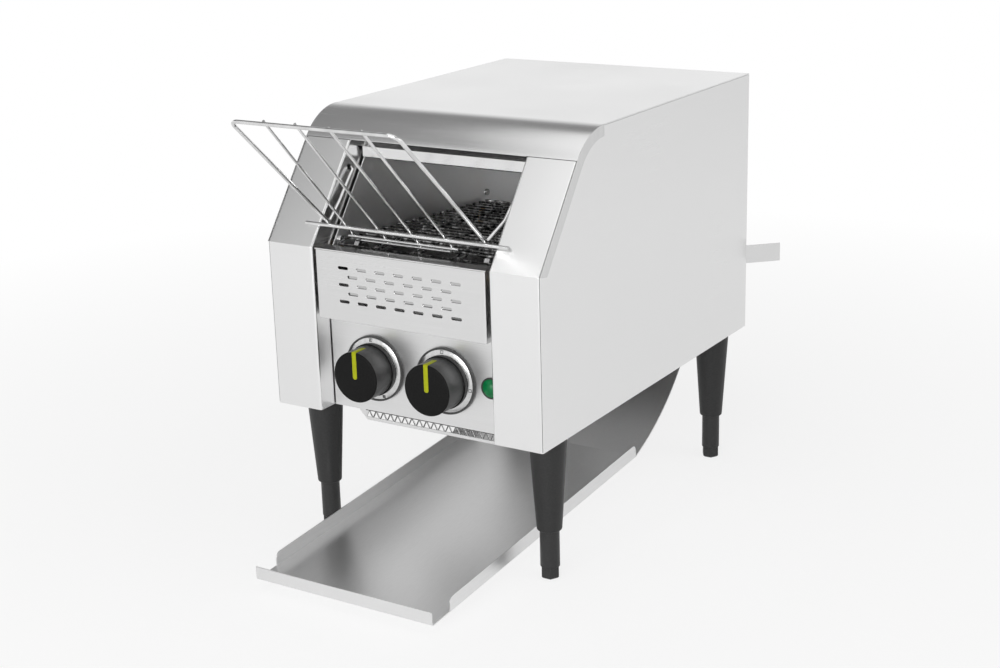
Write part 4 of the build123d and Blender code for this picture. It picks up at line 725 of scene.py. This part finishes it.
def dial_mark(turn, filled=0.0):
    """A square outline on a dial's ring, at an angle from its right, with a share of it filled in."""
    slope = math.atan2(RING_INNER_HEIGHT - RING_OUTER_HEIGHT, RIM_INNER - RING_CREST)
    height = RING_OUTER_HEIGHT + (RIM_INNER - MARK_RADIUS) * math.tan(slope)
    shape = bmesh.new()
    bmesh.ops.create_grid(shape, x_segments=1, y_segments=1, size=MARK_SIZE / 2)
    middle = bmesh.ops.inset_individual(shape, faces=shape.faces[:], thickness=MARK_LINE,
                                        use_even_offset=True)
    inside = [face for face in shape.faces if face not in middle["faces"]]
    bmesh.ops.delete(shape, geom=inside, context="FACES_ONLY")
    if filled:
        half = MARK_SIZE / 2 - MARK_LINE
        bar = bmesh.new()
        bmesh.ops.create_grid(bar, x_segments=1, y_segments=1, size=half)
        bmesh.ops.scale(bar, vec=(filled, 1, 1), verts=bar.verts)
        bmesh.ops.translate(bar, vec=(-(1 - filled) * half, 0, 0), verts=bar.verts)
        add_to(shape, bar)
    bmesh.ops.solidify(shape, geom=shape.faces[:], thickness=MARK_THICKNESS)
    bmesh.ops.recalc_face_normals(shape, faces=shape.faces)
    shape.transform(Matrix.Rotation(turn, 4, "Z") @ Matrix.Translation((MARK_RADIUS, 0, height))
                    @ Matrix.Rotation(slope, 4, "Y") @ Matrix.Rotation(-turn, 4, "Z"))
    return shape


def dials(rim_plastic, metal, ink):
    """The dark rims, bright rings and printed marks of both dials."""
    rims = both_dials([(RIM_OUTER, 0), (RIM_OUTER, RIM_HEIGHT), (RIM_INNER, RIM_HEIGHT), (RIM_INNER, 0)])
    piece("dial_bezels", rims, "casing", rim_plastic, ["dial_rims"])
    rings = both_dials([(RIM_INNER, 0), (RIM_INNER, RING_OUTER_HEIGHT), (RING_CREST, RING_INNER_HEIGHT),
                        (RING_INNER, RING_INNER_HEIGHT), (RING_INNER, 0)])
    piece("dial_plates", rings, "casing", metal, ["dial_rings"])
    centres = dial_centres()
    marks = bmesh.new()
    for side, turn, filled in DIAL_MARKS:
        mark = dial_mark(math.radians(turn), filled)
        mark.transform(facing_front(centres[side]))
        add_to(marks, mark)
    piece("dial_marks", marks, "casing", ink)


# Heaters

def heater(name, glass, metal):
    """A quartz tube with a coil of wire along its middle."""
    low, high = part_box(name)
    radius = (high.y - low.y) / 2
    centre = (low + high) / 2
    length = high.x - low.x
    tube = turned([(radius, 0), (radius, length), (radius - TUBE_WALL, length), (radius - TUBE_WALL, 0)],
                  TUBE_STEPS, closed=True)
    tube.transform(Matrix.Translation((low.x, centre.y, centre.z))
                   @ Matrix.Rotation(math.radians(90), 4, "Y"))
    piece(f"{name}_tube", tube, "casing", glass, [name])
    coil_length = length - 2 * TUBE_END_MARGIN
    turns = round(coil_length / COIL_PITCH)
    points = [Vector((low.x + TUBE_WALL, centre.y, centre.z))]
    for step in range(turns * COIL_POINTS + 1):
        angle = FULL_TURN * step / COIL_POINTS
        x = low.x + TUBE_END_MARGIN + coil_length * step / (turns * COIL_POINTS)
        points.append(Vector((x, centre.y + COIL_RADIUS * math.cos(angle),
                              centre.z + COIL_RADIUS * math.sin(angle))))
    points.append(Vector((high.x - TUBE_WALL, centre.y, centre.z)))
    piece(f"{name}_coil", wires(name, [points], COIL_WIRE, roundness=0), "casing", metal)


# Studio

def place_camera():
    """A camera that looks at the target from its distance, azimuth and elevation."""
    data = bpy.data.cameras.new("camera")
    data.lens = CAMERA_LENS
    data.sensor_width = CAMERA_SENSOR
    data.sensor_fit = "HORIZONTAL"
    camera = bpy.data.objects.new("camera", data)
    bpy.context.collection.objects.link(camera)
    camera.matrix_world = (Matrix.Translation(CAMERA_TARGET)
                           @ Matrix.Rotation(CAMERA_AZIMUTH, 4, "Z")
                           @ Matrix.Rotation(math.radians(90) - CAMERA_ELEVATION, 4, "X")
                           @ Matrix.Rotation(CAMERA_ROLL, 4, "Z")
                           @ Matrix.Translation((0, 0, CAMERA_DISTANCE)))
    bpy.context.scene.camera = camera


def softbox(name, place, target, size, power):
    """A square-cornered lamp turned to its target."""
    data = bpy.data.lights.new(name, "AREA")
    data.shape = "RECTANGLE"
    data.size, data.size_y = size
    data.energy = power
    lamp = bpy.data.objects.new(name, data)
    lamp.location = place
    lamp.rotation_euler = (Vector(target) - Vector(place)).to_track_quat("-Z", "Y").to_euler()
    bpy.context.collection.objects.link(lamp)


def light_the_sky():
    """A sky that is white round the horizon and grey overhead."""
    world = bpy.data.worlds.new("studio")
    world.use_nodes = True
    bpy.context.scene.world = world
    nodes = Nodes(world.node_tree)
    direction = nodes.add("ShaderNodeTexCoord", output="Generated")
    height = nodes.add("ShaderNodeSeparateXYZ", inputs={"Vector": direction}, output="Z")
    colour = nodes.mix(height.between(WHITE_UP_TO, GREY_FROM), grey(1.0), grey(OVERHEAD_GREY))
    lighting = nodes.add("ShaderNodeLightPath", output="Is Diffuse Ray")
    background = world.node_tree.nodes["Background"]
    nodes.join(background.inputs["Color"], colour)
    nodes.join(background.inputs["Strength"], 1 - lighting * (1 - SKY_LIGHT))


def lay_floor():
    """A pale floor that keeps the shadow near the feet and runs out into plain white."""
    finish = Finish("floor", Base_Color=grey(0.93), Roughness=0.9, Specular_IOR_Level=0.1)
    coordinates = finish.add("ShaderNodeTexCoord", output="Object")
    distance = finish.add("ShaderNodeVectorMath", {"operation": "LENGTH"}, {0: coordinates}, "Value")
    seen, shining, through = [finish.add("ShaderNodeLightPath", output=f"Is {kind} Ray")
                              for kind in ("Camera", "Glossy", "Transmission")]
    clean = FLOOR_CLEAN_NEAR + distance.between(FLOOR_CLEAN_FROM, FLOOR_CLEAN_TO) * (1 - FLOOR_CLEAN_NEAR)
    clean = clean * (seen + through + shining * FLOOR_SHINE)
    white = finish.add("ShaderNodeEmission", inputs={"Color": grey(1.0), "Strength": 1.0})
    lit = Socket(finish, finish.tree.nodes["Principled BSDF"].outputs[0])
    blend = finish.add("ShaderNodeMixShader", inputs={0: clean, 1: lit, 2: white})
    finish.join(finish.tree.nodes["Material Output"].inputs["Surface"], blend)
    shape = bmesh.new()
    bmesh.ops.create_circle(shape, cap_ends=True, segments=FLOOR_STEPS, radius=FLOOR_RADIUS)
    bmesh.ops.translate(shape, vec=(0, 0, -FLOOR_DROP), verts=shape.verts)
    mesh = bpy.data.meshes.new("floor")
    shape.to_mesh(mesh)
    shape.free()
    mesh.materials.append(finish.material)
    floor = bpy.data.objects.new("floor", mesh)
    bpy.context.collection.objects.link(floor)


# Dressing

def dress(nodes, material):
    """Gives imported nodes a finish."""
    for name in nodes:
        for slot in frame["nodes"][name].material_slots:
            slot.material = material


def dress_sheet_metal():
    """The casing, the chamber and the tray."""
    dress(["top_cover"], brushed_steel("steel_hood", "X", light=0.86, dark=0.83))
    # Darker copies of the casing steel: painted shade on these panels and on the control panel.
    dress(["vent_panel", "rear_panel", "rear_spacers", "tray_hangers"],
          brushed_steel("steel_across_painted_darker", "X", light=0.76, dark=0.73))
    dress(["control_panel"],
          brushed_steel("steel_control_panel_painted_darker", "X", light=0.76, dark=0.73, roughness=0.33))
    # A lighter copy of the casing steel: painted light on the bottom plate, which the tray mirrors.
    dress(["bottom_plate"], brushed_steel("steel_bottom_painted_lighter", "X", light=0.94, dark=0.90))
    dress(["right_side_panel", "left_side_panel"],
          brushed_steel("steel_brushed_to_rear", "Y", light=0.87, dark=0.85))
    dress(["collector_tray"],
          brushed_steel("steel_tray", "Y", light=0.84, dark=0.79, roughness=0.30, depth=0.006 * MM))
    dress(["right_inner_wall", "left_inner_wall"],
          chamber_steel("chamber_walls", "Y", metallic=0.95, roughness=0.30))
    dress(["rear_toast_guide", "motor_bracket"],
          chamber_steel("chamber_guide", "X", metallic=0.1, roughness=0.44))
    dress(["sill_plate", "upper_reflector"], bright_steel("bright_steel", "X", light=0.82))
    # Bright steel painted dark: the shade seen between the belt's wires.
    dress(["lower_reflector"], bright_steel("lower_reflector_painted_dark", "X", light=0.2))
    # A darker copy of the bright steel: painted shade on the baffle behind the vent slots.
    dress(["vent_baffle"], bright_steel("baffle_steel_painted_darker", "X", light=0.55))


def dress_machinery():
    """The rack, the drive and the heaters' ends."""
    dress(["feed_rack"], rack_wire())
    dress(["front_shaft", "rear_shaft", "front_sprockets", "rear_sprockets", "drive_sprocket",
           "drive_chain", "motor_sprocket", "panel_screws"],
          turned_metal("machined_steel", grey(0.58), roughness=0.22))
    dress(["left_spindle", "right_spindle"],
          turned_metal("spindle_steel", grey(0.6), roughness=0.2, axis="Y"))
    dress(["shaft_bushes"], turned_metal("bronze", BRONZE, roughness=0.35))
    dress(["gear_motor"], turned_metal("motor_metal", grey(0.6), roughness=0.35))
    dress(["heater_end_caps"], ceramic())


def dress_plastics():
    """The legs, the fan, the lamp and the electrical parts."""
    corners = ("front_right", "front_left", "rear_right", "rear_left")
    dress([f"{corner}_leg" for corner in corners],
          grained_plastic("leg_plastic", grey(0.016), roughness=0.42))
    dress([f"{corner}_foot" for corner in corners],
          grained_plastic("foot_plastic", grey(0.02), roughness=0.36, grain=900, depth=0.01 * MM))
    dress(["fan_frame", "fan_impeller", "cable_gland", "lamp_holder"],
          grained_plastic("black_plastic", grey(0.025), roughness=0.4))
    dress(["selector_switch", "speed_control", "thermostat", "terminal_block"],
          grained_plastic("grey_plastic", grey(0.5), roughness=0.45))
    dress(["lamp_lens"], lens_green())


def light_the_studio():
    light_the_sky()
    lay_floor()
    for name, (place, target, size, power) in SOFTBOXES.items():
        softbox(name, place, target, size, power)


def add_seams():
    # A darker copy of the side panels' steel: painted shade on the flanges folded onto them.
    darker_flange_steel = brushed_steel("steel_flange_painted_darker", "Z", light=0.76, dark=0.70)
    for side in (-1, 1):
        shoulder_flange(side, darker_flange_steel)
    shade = seam_shade()
    hood_seam_shade(shade)
    edge_seam_shade(shade)
    lattice_lines(shade)


def add_controls():
    # The knobs' sides get a lighter copy of the face's black plastic: painted light where the lamps fall on
    # them.
    lit_side_plastic = grained_plastic("knob_side_painted_light", grey(0.05), roughness=0.36, grain=800,
                                   depth=0.01 * MM, shine=0.6)
    face_plastic = grained_plastic("knob_plastic", grey(0.005), roughness=0.45, grain=800,
                                   depth=0.01 * MM, shine=0.1)
    paint = pointer_paint()
    for side in ("left", "right"):
        knob(side, face_plastic, lit_side_plastic)
        pointer(side, paint)
    rim_plastic = grained_plastic("rim_plastic", grey(0.05), roughness=0.35, grain=900, depth=0.01 * MM)
    dials(rim_plastic, satin_aluminium(), dial_print())


def add_heaters():
    glass = quartz_glass()
    coil = resistance_wire()
    for row in ("upper", "lower"):
        for end in ("front", "rear"):
            heater(f"{row}_{end}_heater", glass, coil)


def main():
    bpy.context.scene.view_settings.view_transform = "Standard"
    place_camera()
    light_the_studio()
    dress_sheet_metal()
    dress_machinery()
    dress_plastics()
    add_seams()
    wire_belt()
    add_controls()
    add_heaters()


main()
